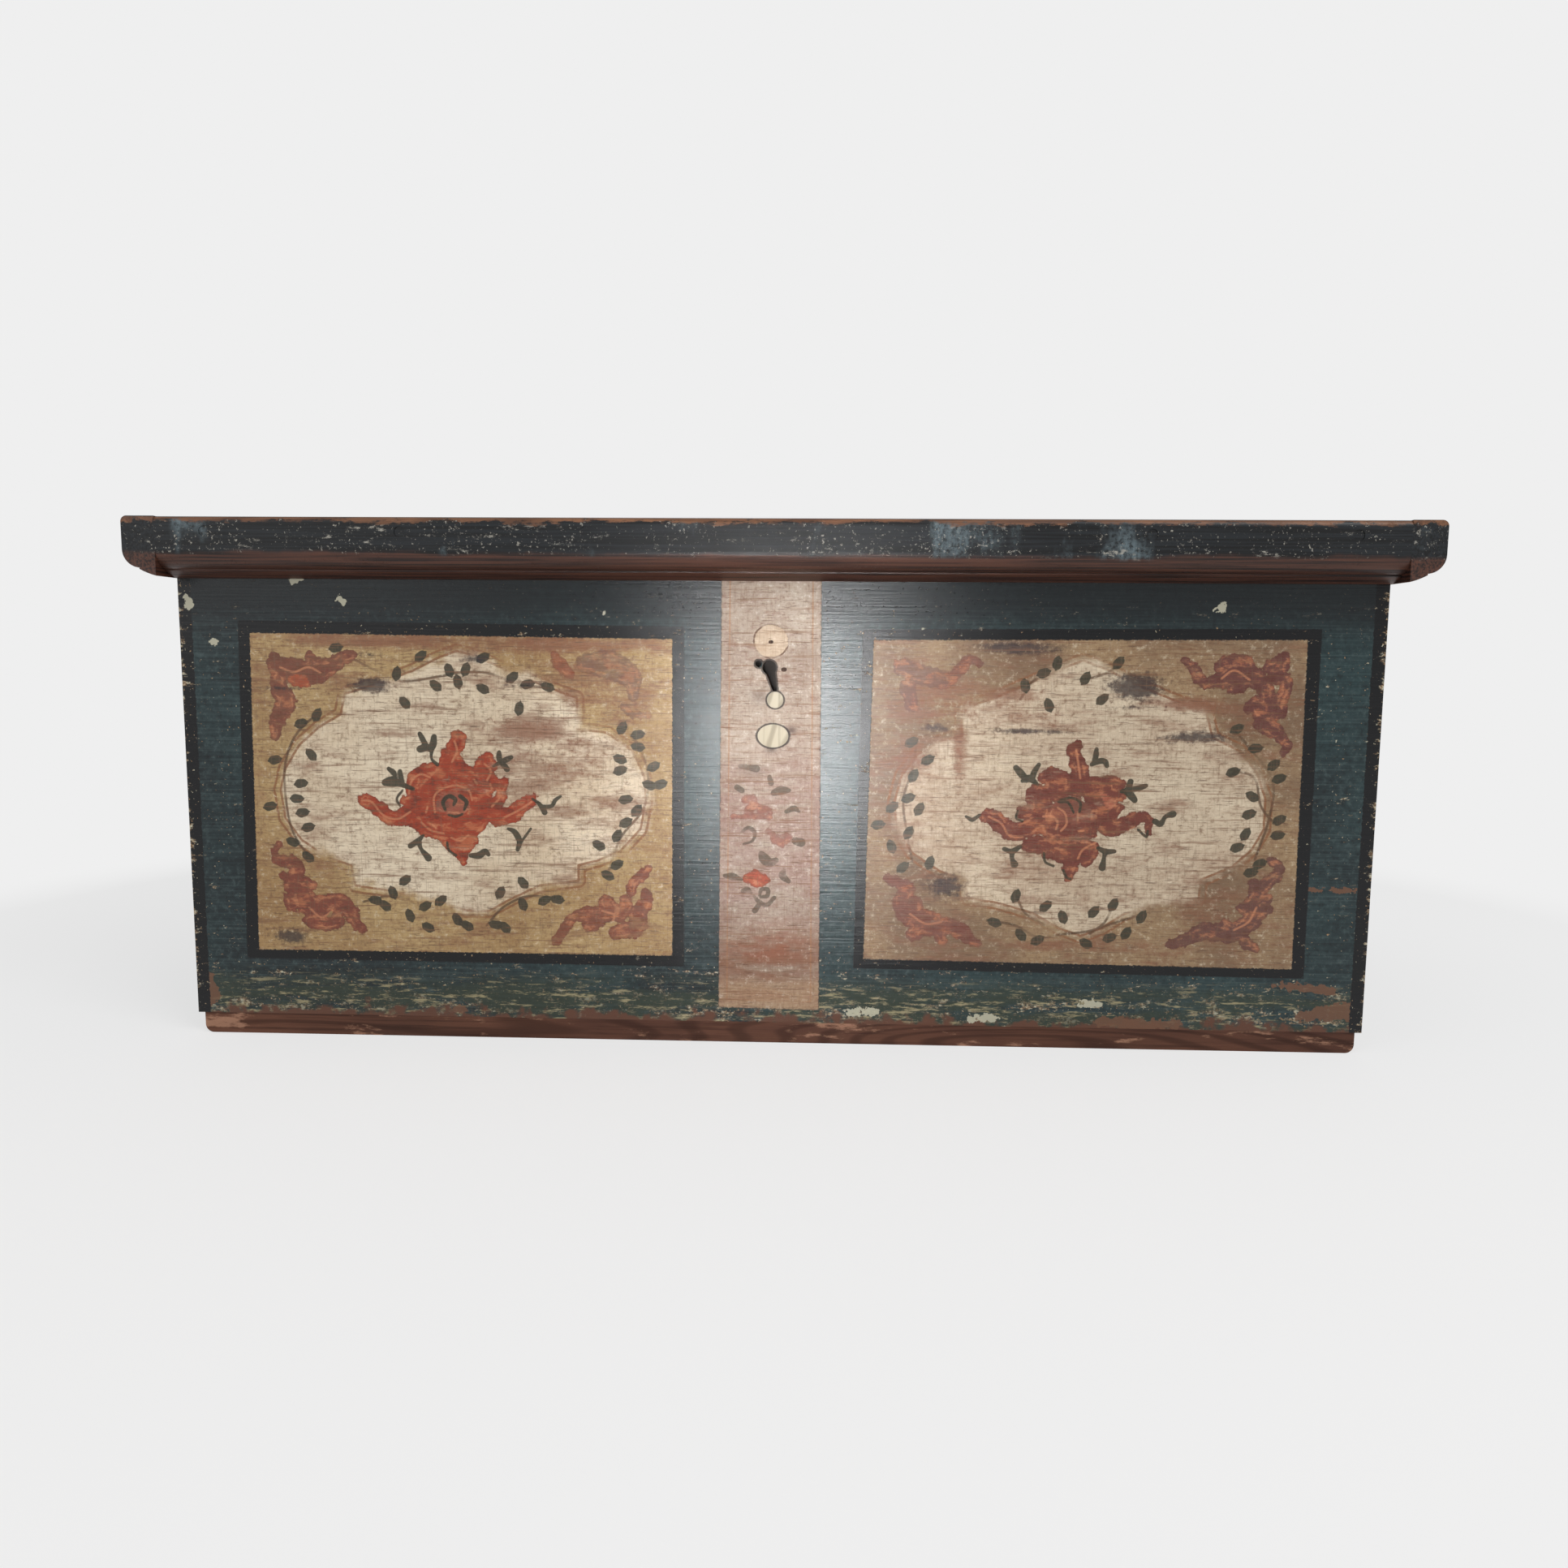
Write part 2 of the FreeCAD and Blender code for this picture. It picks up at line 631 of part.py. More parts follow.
# Lock: a plate on the front board's inside, a sheet-iron case, a bolt in two guides, and a key post.
plate_half = value("plate_width / 2")
plate_low, plate_high, chop = value("plate_foot"), value("lock_top"), value("plate_corner")
plate = outline_body(
    "lock_plate_blank",
    "XZ_Plane",
    [
        ("to", key_x - plate_half + chop, plate_low),
        ("to", key_x + plate_half - chop, plate_low),
        ("to", key_x + plate_half, plate_low + chop),
        ("to", key_x + plate_half, plate_high - chop),
        ("to", key_x + plate_half - chop, plate_high),
        ("to", key_x - plate_half + chop, plate_high),
        ("to", key_x - plate_half, plate_high - chop),
        ("to", key_x - plate_half, plate_low + chop),
    ],
    "plate_iron",
    reverse=True,
)
put(plate, "0", "front_inside", "0")
piece(cut("lock_plate", plate, [keyhole_round, keyhole_slot, keyhole_notch] + plate_nails), "lock_plate")

case_near = "front_inside + plate_iron"
case_across = ("keyhole_x - case_width / 2", "keyhole_x + case_width / 2")
case_along = (case_near, f"{case_near} + case_depth")
case_up = ("case_foot", "lock_top")
case_blank = block("case_blank", case_across, case_along, case_up)
hollow_across = (f"{case_across[0]} + case_sheet", f"{case_across[1]} - case_sheet")
hollow_along = (f"{case_near} - overrun", f"{case_along[1]} - case_sheet")
hollow_up = ("case_foot + case_sheet", "lock_top - case_sheet")
case_hollow = block("case_hollow", hollow_across, hollow_along, hollow_up)
mouth_across = (f"{staple_across[0]} - mouth_play", f"{staple_across[1]} + mouth_play")
mouth_along = (f"{case_near} - overrun", f"{shank_along[1]} + mouth_play / 2")
mouth_up = ("lock_top - case_sheet - overrun", "lock_top + overrun")
case_mouth = block("case_mouth", mouth_across, mouth_along, mouth_up)
piece(cut("lock_case", case_blank, [case_hollow, case_mouth]), "lock_case")

bolt_end = "bolt_start + bolt_length"
bolt_up = ("bolt_z - bolt_height / 2", "bolt_z + bolt_height / 2")
bolt_along = ("bolt_y - bolt_width / 2", "bolt_y + bolt_width / 2")
bolt_bar = block("bolt_bar", ("bolt_start", bolt_end), bolt_along, bolt_up)
talon_start = f"bolt_start + bolt_length * {TALON_SHARE}"
talon_across = (talon_start, f"{talon_start} + talon_width")
talon_up = (f"{bolt_up[0]} - talon_drop", bolt_up[0])
bolt_talon = block("bolt_talon", talon_across, bolt_along, talon_up)
piece(fuse("lock_bolt_blank", [bolt_bar, bolt_talon]), "lock_bolt")

guide_frames = []
for number, start in enumerate(("bolt_start + bolt_gap", f"{bolt_end} - guide_length - bolt_gap")):
    guide_across = (start, f"{start} + guide_length")
    guide_along = (case_near, f"{bolt_along[1]} + guide_wall")
    guide_up = (f"{bolt_up[0]} - bolt_play - guide_wall", f"{bolt_up[1]} + bolt_play + guide_wall")
    frame = block(f"guide_frame_{number}", guide_across, guide_along, guide_up)
    window_across = (f"{start} - overrun", f"{start} + guide_length + overrun")
    window_along = (f"{bolt_along[0]} - bolt_play", f"{bolt_along[1]} + bolt_play")
    window_up = (f"{bolt_up[0]} - bolt_play", f"{bolt_up[1]} + bolt_play")
    window = block(f"guide_window_{number}", window_across, window_along, window_up)
    guide_frames.append(cut(f"guide_{number}", frame, [window]))
piece(group("bolt_guides_group", guide_frames), "lock_bolt_guides")

post_at = ("keyhole_x", "front_inside + plate_iron", "keyhole_z")
post_length = "case_depth - case_sheet"
piece(rod("key_post", "post_radius", post_length, post_at, "+y"), "lock_key_post")

doc.recompute()
broken = [o.Name for o in doc.Objects if "Invalid" in o.State or "Error" in o.State]
if broken:
    raise SystemExit(f"failed objects: {broken}")
for item in finished:
    if item.Shape.isNull() or not item.Shape.isValid():
        raise SystemExit(f"{item.Label} has no valid shape")

os.makedirs("parts", exist_ok=True)
for item in finished:
    item.Shape.exportStep(f"parts/{item.Label}.step")
print(len(finished), "pieces written")
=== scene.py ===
"""Looks for the painted chest: the painted skins of its front, its materials, the studio and the camera."""

import json
import math

import bpy
import numpy as np
from mathutils import Matrix, Vector

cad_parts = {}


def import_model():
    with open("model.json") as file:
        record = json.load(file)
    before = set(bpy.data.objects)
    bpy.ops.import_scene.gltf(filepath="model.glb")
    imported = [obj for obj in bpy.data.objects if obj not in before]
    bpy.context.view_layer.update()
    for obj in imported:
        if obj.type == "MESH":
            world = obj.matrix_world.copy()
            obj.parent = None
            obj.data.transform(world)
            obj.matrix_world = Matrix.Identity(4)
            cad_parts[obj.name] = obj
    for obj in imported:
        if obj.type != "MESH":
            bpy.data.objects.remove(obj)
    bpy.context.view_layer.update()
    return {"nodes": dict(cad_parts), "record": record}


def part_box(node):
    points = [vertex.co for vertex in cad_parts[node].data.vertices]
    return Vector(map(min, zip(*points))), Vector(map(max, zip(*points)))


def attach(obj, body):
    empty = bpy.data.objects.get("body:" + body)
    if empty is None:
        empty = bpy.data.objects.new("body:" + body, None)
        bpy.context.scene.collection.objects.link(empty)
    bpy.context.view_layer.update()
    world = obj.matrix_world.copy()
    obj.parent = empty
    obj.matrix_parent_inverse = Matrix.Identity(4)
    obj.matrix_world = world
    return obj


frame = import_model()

MM = 0.001

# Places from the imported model.
front_low, front_high = (Vector(corner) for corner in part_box("front_board"))
front_face, front_foot, front_head = front_low.y, front_low.z, front_high.z
carcass_half = front_high.x
lid_top = Vector(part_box("lid_front_moulding")[1]).z

# The photograph's camera: where it stood before the front, how it was turned, and its focal length.
PICTURE_PIXELS = 1932
FOCAL_PIXELS = 1400
SENSOR_WIDTH = 36.0
CAMERA_SIDE, CAMERA_REACH, CAMERA_HEIGHT = 52.0 * MM, 1165.7 * MM, 403.2 * MM
CAMERA_TURNS = {"yaw": -1.93, "pitch": 6.25, "roll": -0.43}

# Films of paint on the front, and the cells of their grids.
GROUND_FILM, ORNAMENT_FILM = 0.2 * MM, 0.3 * MM
GROUND_CELL, ORNAMENT_CELL = 3.0 * MM, 1.5 * MM

# Sizes of the brushwork.
STROKE_MARGIN, FAR_FROM_PAINT = 12 * MM, 50 * MM
CURVE_STEPS = 5
EDGE_STRIPE = 13 * MM
BRUSH_SOFT, BRUSH_WOBBLE = 0.6 * MM, 3.0 * MM
BRUSH_RAGGED, CHIP_RAGGED = 3.4 * MM, 16.0 * MM
OUTLINE_HALF, OUTLINE_GAP, OUTLINE_LIGHT = 0.8 * MM, 6.6 * MM, 2.6 * MM
CARTOUCHE_FADE = 36 * MM
SCROLL_RIM, SCROLL_SPREAD = 1.4 * MM, 1.2 * MM
SCROLL_LIGHT, SCROLL_CURL = 4.2 * MM, 9.0 * MM
STEM_RADIUS, SWIRL_RADIUS, DAB_SPREAD = 1.3 * MM, 1.1 * MM, 0.7 * MM
LEAF_LENGTH, LEAF_WIDTH = 15.5 * MM, 11.5 * MM
LEAF_SPINE_SHARES = [(-1, 0.12), (-0.35, 0.44), (0.2, 0.4), (1, 0.02)]
STRIP_LINE, HOLE_RING = 9.0 * MM, 2.2 * MM

# Corners of the panels and the strip in the photograph, from the lower left one.
CORNER_PIXELS = {
    "left": ((319, 1170), (829, 1178), (829, 787), (307, 779)),
    "right": ((1063, 1182), (1592, 1195), (1612, 788), (1076, 788)),
    "strip": ((885, 1241), (1009, 1245), (1013, 688), (889, 688)),
}

# Outer corners of the black borders round the panels.
BORDER_PIXELS = {
    "left": ((305, 1180), (843, 1191), (843, 772), (293, 764)),
    "right": ((1051, 1193), (1606, 1206), (1629, 775), (1063, 775)),
}

# Outlines of the two cartouches.
CARTOUCHE_PIXELS = {
    "left": [
        (425, 855), (465, 842), (507, 827), (541, 810), (563, 802), (588, 809), (622, 825), (665, 843),
        (711, 860), (711, 898), (748, 903), (779, 925), (794, 956), (796, 987), (789, 1022), (765, 1048),
        (737, 1060), (713, 1066), (713, 1085), (665, 1091), (631, 1107), (603, 1122), (575, 1122),
        (534, 1108), (486, 1098), (438, 1091), (433, 1066), (403, 1056), (372, 1035), (352, 1008),
        (346, 973), (352, 946), (369, 918), (393, 896), (420, 880),
    ],
    "right": [
        (1185, 874), (1228, 859), (1268, 842), (1305, 825), (1335, 814), (1364, 825), (1401, 844),
        (1442, 861), (1486, 877), (1494, 909), (1527, 925), (1548, 951), (1559, 985), (1557, 1022),
        (1542, 1047), (1518, 1068), (1479, 1084), (1477, 1108), (1420, 1114), (1383, 1127), (1357, 1144),
        (1331, 1153), (1305, 1144), (1272, 1125), (1228, 1112), (1192, 1107), (1189, 1084), (1157, 1073),
        (1124, 1051), (1105, 1022), (1102, 988), (1111, 955), (1131, 929), (1161, 912), (1185, 907),
    ],
}

# Scrolls: how brown the red is, how much paint is left, and strokes of points with the brush's radius.
SCROLL_PIXELS = {
    "left": {
        "middle": (0.1, 1.0, [
            [(561, 905, 4), (565, 912, 9), (558, 929, 10), (555, 946, 17)], [(549, 927, 4), (554, 937, 8)],
            [(519, 1000, 11), (526, 973, 12), (542, 957, 13), (558, 953, 13), (577, 959, 13),
            (592, 977, 12), (596, 1000, 13)], [(535, 948, 8), (516, 954, 8), (509, 969, 8), (514, 982, 10)],
            [(499, 986, 6), (508, 990, 8)], [(606, 943, 6), (600, 936, 8), (595, 949, 11), (602, 965, 13)],
            [(619, 965, 7), (617, 979, 6), (612, 990, 8)], [(450, 986, 8), (464, 994, 8), (480, 1007, 9),
            (496, 1007, 10), (510, 998, 12)], [(657, 984, 5), (645, 992, 8), (631, 1002, 10),
            (616, 1006, 11), (604, 998, 14)], [(511, 1010, 9), (526, 1020, 10), (540, 1024, 10),
            (558, 1024, 14), (577, 1022, 12), (593, 1010, 10)], [(581, 1034, 8), (568, 1041, 13),
            (554, 1039, 8)], [(568, 1048, 9), (571, 1062, 3)], [(542, 1009, 9), (530, 1003, 9),
            (533, 988, 8), (544, 975, 8), (557, 971, 9), (571, 975, 8), (582, 987, 8), (583, 1000, 9),
            (573, 1010, 9), (542, 1009, 9)],
        ]),
        "eye": (0.2, 0.92, [[(546, 991, 12), (557, 988, 17), (570, 992, 12)]]),
        "upper left": (0.45, 0.9, [
            [(434, 807, 5), (423, 811, 8), (410, 820, 9), (396, 825, 13), (381, 829, 15), (366, 825, 12),
            (353, 822, 11), (341, 821, 11), (337, 811, 6)], [(383, 809, 5), (384, 820, 9)], [(343, 837, 9),
            (345, 852, 10), (353, 863, 12), (346, 880, 10), (340, 895, 8), (339, 907, 4)],
        ]),
        "upper left heart": (0.05, 0.85, [[(365, 836, 9), (375, 834, 12)]]),
        "upper right tip": (0.3, 0.7, [[(683, 809, 5), (693, 822, 7), (701, 831, 5)]]),
        "upper right": (0.95, 0.55, [
            [(722, 817, 11), (751, 819, 16), (777, 834, 12), (781, 858, 5)], [(769, 871, 4), (780, 881, 3),
            (798, 881, 3)],
        ]),
        "lower left": (0.4, 0.95, [
            [(343, 1040, 3), (338, 1051, 3), (345, 1060, 6), (360, 1063, 8), (367, 1070, 8),
            (365, 1079, 10), (361, 1090, 11), (372, 1099, 13), (378, 1113, 14), (392, 1117, 13),
            (406, 1112, 10), (420, 1112, 10), (431, 1122, 10), (437, 1135, 6), (447, 1144, 5)],
            [(350, 1078, 4), (356, 1084, 5)], [(385, 1091, 5), (377, 1088, 8)], [(356, 1106, 6),
            (361, 1114, 9)], [(382, 1134, 8), (395, 1136, 9), (406, 1139, 7), (416, 1132, 9)],
        ]),
        "lower right": (0.4, 0.9, [
            [(799, 1069, 3), (792, 1078, 6), (781, 1088, 5), (778, 1099, 5)], [(796, 1103, 6),
            (798, 1112, 6), (786, 1124, 10), (786, 1140, 11), (772, 1146, 10), (757, 1149, 7)],
            [(769, 1107, 5), (772, 1117, 8), (764, 1128, 8)], [(747, 1111, 8), (751, 1122, 12),
            (734, 1127, 9), (721, 1126, 8), (707, 1131, 6), (696, 1143, 5), (686, 1158, 6)],
            [(727, 1138, 9), (740, 1132, 8)],
        ]),
    },
    "right": {
        "middle": (0.5, 1.0, [
            [(1330, 917, 3), (1323, 924, 7), (1326, 936, 8), (1331, 951, 9), (1328, 966, 15)],
            [(1286, 958, 6), (1295, 958, 10), (1309, 960, 9), (1301, 973, 15)], [(1271, 983, 7),
            (1276, 976, 9), (1284, 988, 13), (1279, 1004, 12)], [(1258, 1001, 7), (1268, 1004, 8)],
            [(1211, 1008, 3), (1221, 1005, 8), (1235, 1017, 10), (1249, 1025, 10), (1266, 1020, 11),
            (1280, 1010, 13)], [(1381, 966, 5), (1368, 963, 7), (1361, 976, 14), (1377, 979, 9)],
            [(1345, 972, 14), (1360, 996, 15), (1362, 1012, 13), (1371, 1020, 9), (1388, 1014, 8),
            (1405, 1007, 7), (1415, 1010, 5), (1414, 1026, 2)], [(1378, 996, 6), (1366, 1000, 10)],
            [(1293, 1018, 12), (1317, 1024, 13), (1338, 1022, 13)], [(1264, 1043, 5), (1272, 1041, 9),
            (1293, 1042, 11), (1311, 1050, 13), (1328, 1047, 13), (1343, 1046, 10), (1339, 1059, 8)],
            [(1290, 1052, 6), (1297, 1046, 8)], [(1319, 1062, 11), (1317, 1083, 3)],
        ]),
        "glow": (0.1, 0.85, [[(1361, 980, 15), (1363, 992, 14)]]),
        "eye": (0.35, 0.92, [[(1304, 1003, 14), (1318, 1000, 18), (1335, 1006, 14)]]),
        "upper left": (0.8, 0.65, [
            [(1111, 822, 10), (1135, 831, 11), (1161, 838, 10)], [(1118, 848, 9), (1124, 870, 7)],
        ]),
        "upper left curl": (0.6, 0.8, [[(1169, 840, 5), (1183, 825, 6), (1193, 814, 5), (1207, 817, 4)]]),
        "upper right": (0.75, 1.0, [
            [(1460, 814, 3), (1470, 822, 5), (1476, 834, 6), (1487, 842, 6), (1503, 838, 8),
            (1520, 834, 14), (1538, 833, 13), (1550, 839, 10), (1559, 848, 9), (1562, 859, 8),
            (1561, 876, 13)], [(1503, 822, 7), (1514, 816, 8), (1525, 816, 8), (1537, 819, 8)],
            [(1520, 848, 7), (1528, 842, 10)], [(1566, 822, 8), (1578, 818, 9), (1583, 807, 3)],
            [(1572, 833, 9), (1584, 839, 7), (1583, 852, 7), (1577, 865, 7), (1575, 877, 9)],
            [(1537, 874, 4), (1546, 868, 8), (1556, 877, 12)], [(1556, 892, 10), (1569, 900, 9),
            (1580, 910, 6), (1585, 919, 4), (1581, 928, 3)],
        ]),
        "lower right": (0.8, 0.9, [
            [(1566, 1062, 4), (1575, 1067, 5), (1573, 1078, 6), (1561, 1088, 7), (1549, 1101, 9),
            (1545, 1117, 12), (1542, 1133, 11), (1529, 1145, 11), (1512, 1150, 11), (1494, 1148, 10),
            (1476, 1150, 9), (1458, 1159, 7), (1440, 1163, 4)], [(1545, 1090, 6), (1549, 1098, 8)],
            [(1560, 1107, 7), (1552, 1110, 9)], [(1530, 1120, 6), (1538, 1120, 9)], [(1558, 1120, 8),
            (1548, 1126, 9)], [(1510, 1138, 5), (1514, 1145, 8)], [(1482, 1143, 6), (1488, 1148, 8)],
            [(1535, 1161, 8), (1546, 1169, 4)],
        ]),
        "lower left": (0.6, 0.85, [
            [(1095, 1083, 5), (1109, 1089, 7), (1119, 1096, 8), (1112, 1108, 10), (1111, 1121, 9),
            (1121, 1131, 10), (1137, 1136, 15), (1155, 1141, 12), (1172, 1142, 10), (1185, 1148, 9),
            (1196, 1158, 6), (1205, 1163, 3)], [(1128, 1113, 8), (1126, 1124, 9)], [(1126, 1150, 9),
            (1132, 1142, 10)], [(1160, 1158, 6), (1157, 1148, 9)],
        ]),
    },
    "strip": {
        "upper rose": (0.35, 0.6, [
            [(917, 985, 3), (925, 985, 5), (930, 992, 5), (922, 997, 4)], [(936, 996, 4), (948, 1000, 3)],
            [(903, 1006, 2), (925, 1005, 3), (948, 1007, 2)],
        ]),
        "middle rose": (0.3, 0.55, [
            [(953, 1033, 4), (962, 1036, 7), (970, 1032, 5)], [(946, 1024, 3), (952, 1030, 3)],
        ]),
        "lower rose": (0.05, 0.85, [[(921, 1084, 4), (930, 1079, 7), (934, 1085, 8), (943, 1083, 4)]]),
    },
}

# Light lines brushed over the scrolls.
SWIRL_PIXELS = {
    "left": [
        [(536, 1001), (535, 982), (545, 972), (562, 968), (577, 973), (582, 986)], [(527, 994),
        (525, 1001)], [(584, 960), (588, 966)], [(604, 966), (606, 972)], [(533, 1016), (538, 1021)],
        [(446, 986), (458, 988), (472, 1004), (490, 1009), (506, 1000)], [(504, 978), (507, 963),
        (518, 954), (530, 958)], [(597, 941), (605, 950), (600, 962)], [(612, 972), (616, 982), (606, 994)],
        [(519, 1013), (531, 1023), (547, 1027)], [(556, 1032), (567, 1036), (577, 1029)], [(655, 988),
        (640, 998), (620, 1008)], [(560, 913), (563, 925), (557, 939)], [(345, 822), (362, 828), (380, 822),
        (395, 829)], [(381, 1118), (396, 1130), (410, 1122)], [(742, 1122), (757, 1128), (752, 1140)],
    ],
    "right": [
        [(1285, 1006), (1296, 1006), (1303, 1013), (1301, 1022)], [(1303, 995), (1312, 1002), (1314, 1015),
        (1307, 1024)], [(1328, 1001), (1328, 1011)], [(1329, 1024), (1335, 1024)], [(1300, 1045),
        (1309, 1047)], [(1328, 1058), (1334, 1047), (1350, 1038)], [(1218, 1006), (1234, 1015),
        (1243, 1029), (1260, 1031)], [(1351, 1031), (1373, 1035), (1398, 1019)], [(1326, 925), (1329, 944),
        (1331, 959)], [(1505, 836), (1521, 826), (1540, 838)], [(1121, 1126), (1140, 1138), (1160, 1136)],
        [(1548, 1118), (1538, 1136), (1520, 1146)],
    ],
}

# Leaves of the garlands: a place, and the way each points in degrees.
LEAF_PIXELS = {
    "left": [
        (415, 798, 10), (489, 829, 80), (519, 808, 40), (498, 865, 130), (536, 844, 140), (553, 825, 110),
        (574, 824, 70), (564, 839, 100), (596, 810, 30), (594, 848, 150), (632, 834, 40), (651, 843, 10),
        (674, 846, 160), (640, 872, 80), (391, 880, 60), (372, 891, 20), (383, 929, 130), (340, 936, 10),
        (372, 965, 10), (367, 984, 0), (334, 993, 15), (374, 1001, 10), (381, 1019, 15), (360, 1037, 160),
        (379, 1055, 140), (767, 896, 60), (787, 905, 10), (785, 920, 170), (763, 935, 160), (765, 949, 20),
        (806, 944, 30), (799, 967, 160), (815, 966, 20), (772, 985, 10), (785, 998, 50), (772, 1013, 30),
        (761, 1029, 60), (737, 1041, 150), (761, 1065, 30), (748, 1078, 150), (500, 1084, 40),
        (484, 1099, 110), (474, 1115, 140), (462, 1109, 170), (505, 1127, 110), (525, 1116, 30),
        (544, 1109, 40), (527, 1142, 150), (563, 1132, 120), (575, 1140, 150), (610, 1139, 170),
        (622, 1142, 130), (617, 1099, 60), (644, 1087, 130), (644, 1113, 110), (672, 1109, 30),
        (686, 1108, 170),
    ],
    "right": [
        (1303, 816, 80), (1287, 829, 20), (1263, 844, 100), (1292, 868, 110), (1338, 835, 60),
        (1379, 816, 50), (1359, 861, 40), (1525, 898, 30), (1548, 922, 10), (1520, 951, 20),
        (1570, 942, 40), (1577, 959, 20), (1542, 981, 150), (1540, 1003, 20), (1577, 1010, 30),
        (1535, 1027, 60), (1575, 1029, 10), (1525, 1044, 20), (1553, 1064, 20), (1542, 1075, 10),
        (1124, 914, 30), (1144, 936, 30), (1126, 955, 60), (1120, 983, 20), (1100, 994, 40),
        (1133, 996, 60), (1083, 1016, 10), (1120, 1025, 60), (1098, 1042, 110), (1146, 1062, 70),
        (1113, 1068, 40), (1252, 1103, 70), (1289, 1116, 40), (1224, 1136, 160), (1309, 1129, 110),
        (1257, 1151, 130), (1279, 1158, 30), (1348, 1123, 50), (1372, 1114, 60), (1407, 1129, 60),
        (1388, 1149, 60), (1368, 1155, 20), (1337, 1162, 150),
    ],
}

# Dark dabs: the sprigs and curls round the flowers and the leaves on the strip, as strokes with a radius.
DAB_PIXELS = {
    "left": [
        [(517, 904, 2), (521, 911, 3), (528, 922, 2)], [(535, 908, 3), (534, 916, 4), (532, 925, 2)],
        [(518, 923, 4), (526, 921, 4), (532, 925, 2)], [(532, 925, 2), (532, 935, 1), (539, 942, 2)],
        [(479, 947, 2), (485, 952, 3), (488, 957, 1)], [(493, 950, 2), (494, 957, 3), (496, 964, 2)],
        [(475, 964, 4), (484, 963, 6), (494, 966, 3), (509, 972, 2)], [(496, 974, 1), (489, 984, 1),
        (493, 993, 1)], [(615, 927, 2), (615, 933, 3), (616, 939, 2)], [(630, 933, 2), (624, 936, 3),
        (608, 944, 1)], [(625, 948, 3), (621, 943, 3), (616, 939, 2)], [(656, 984, 1), (665, 991, 2),
        (671, 1001, 3)], [(668, 994, 2), (680, 993, 2), (684, 986, 2), (691, 981, 1)], [(522, 1029, 1),
        (515, 1036, 3), (506, 1042, 3)], [(516, 1036, 3), (519, 1046, 2), (528, 1057, 4)], [(580, 1054, 2),
        (590, 1054, 4), (598, 1049, 3), (602, 1053, 2)], [(626, 1021, 1), (634, 1025, 3), (640, 1036, 3),
        (638, 1047, 2)], [(642, 1038, 1), (654, 1021, 1)], [(551, 1038, 1), (553, 1047, 1), (562, 1054, 1)],
        [(549, 998, 1), (546, 988, 2), (553, 981, 2), (561, 985, 2), (559, 992, 1)], [(567, 981, 2),
        (575, 988, 2), (572, 998, 1)], [(553, 1004, 1), (562, 1006, 1), (570, 1003, 1)],
    ],
    "right": [
        [(1252, 946, 3), (1258, 953, 4), (1265, 961, 3)], [(1280, 942, 2), (1275, 950, 3), (1271, 960, 3)],
        [(1260, 962, 2), (1268, 959, 4), (1279, 967, 1)], [(1351, 923, 2), (1350, 931, 3), (1348, 940, 2)],
        [(1345, 942, 2), (1354, 938, 3), (1361, 938, 3), (1364, 944, 2)], [(1393, 963, 3), (1391, 969, 3),
        (1388, 976, 2)], [(1412, 968, 2), (1403, 971, 3), (1382, 975, 2)], [(1398, 986, 3), (1394, 981, 4),
        (1388, 976, 3)], [(1423, 1012, 3), (1430, 1015, 3), (1436, 1006, 2), (1445, 1003, 4)],
        [(1190, 1006, 1), (1198, 1010, 2), (1207, 1004, 1)], [(1237, 1046, 2), (1247, 1049, 3),
        (1257, 1043, 2)], [(1247, 1049, 3), (1247, 1058, 2), (1250, 1065, 4)], [(1353, 1045, 2),
        (1362, 1049, 3), (1373, 1049, 2)], [(1362, 1049, 3), (1360, 1058, 2), (1358, 1069, 4)],
        [(1286, 1051, 1), (1288, 1062, 1), (1298, 1067, 1)], [(1310, 1072, 1), (1314, 1081, 1),
        (1319, 1083, 1)], [(1304, 988, 1), (1316, 989, 1), (1323, 1001, 1)], [(1307, 986, 1),
        (1320, 983, 1), (1331, 989, 1), (1330, 1000, 1)], [(1402, 1022, 1), (1412, 1031, 1),
        (1414, 1024, 1)], [(1254, 999, 1), (1252, 1008, 1), (1260, 1012, 1)],
    ],
    "strip": [
        [(912, 944, 2), (924, 946, 3), (932, 947, 4)], [(908, 970, 3), (914, 974, 3)], [(948, 957, 2),
        (950, 965, 3)], [(953, 977, 3), (962, 974, 5), (972, 974, 2)], [(969, 1000, 2), (978, 996, 3),
        (985, 1000, 1)], [(913, 1026, 1), (922, 1020, 2), (930, 1026, 2), (927, 1036, 1), (916, 1040, 1)],
        [(980, 1036, 4), (987, 1038, 5)], [(938, 1052, 3), (942, 1058, 6), (948, 1063, 5), (956, 1060, 3)],
        [(966, 1073, 2), (964, 1079, 4), (972, 1086, 2)], [(893, 1079, 2), (903, 1080, 4), (914, 1084, 1)],
        [(915, 1098, 2), (921, 1096, 3), (926, 1101, 1)], [(936, 1103, 1), (938, 1096, 2), (946, 1096, 2),
        (945, 1104, 2), (937, 1105, 1)], [(929, 1104, 1), (935, 1111, 2), (945, 1115, 2), (954, 1106, 2)],
        [(930, 1122, 3), (937, 1112, 2)],
    ],
}

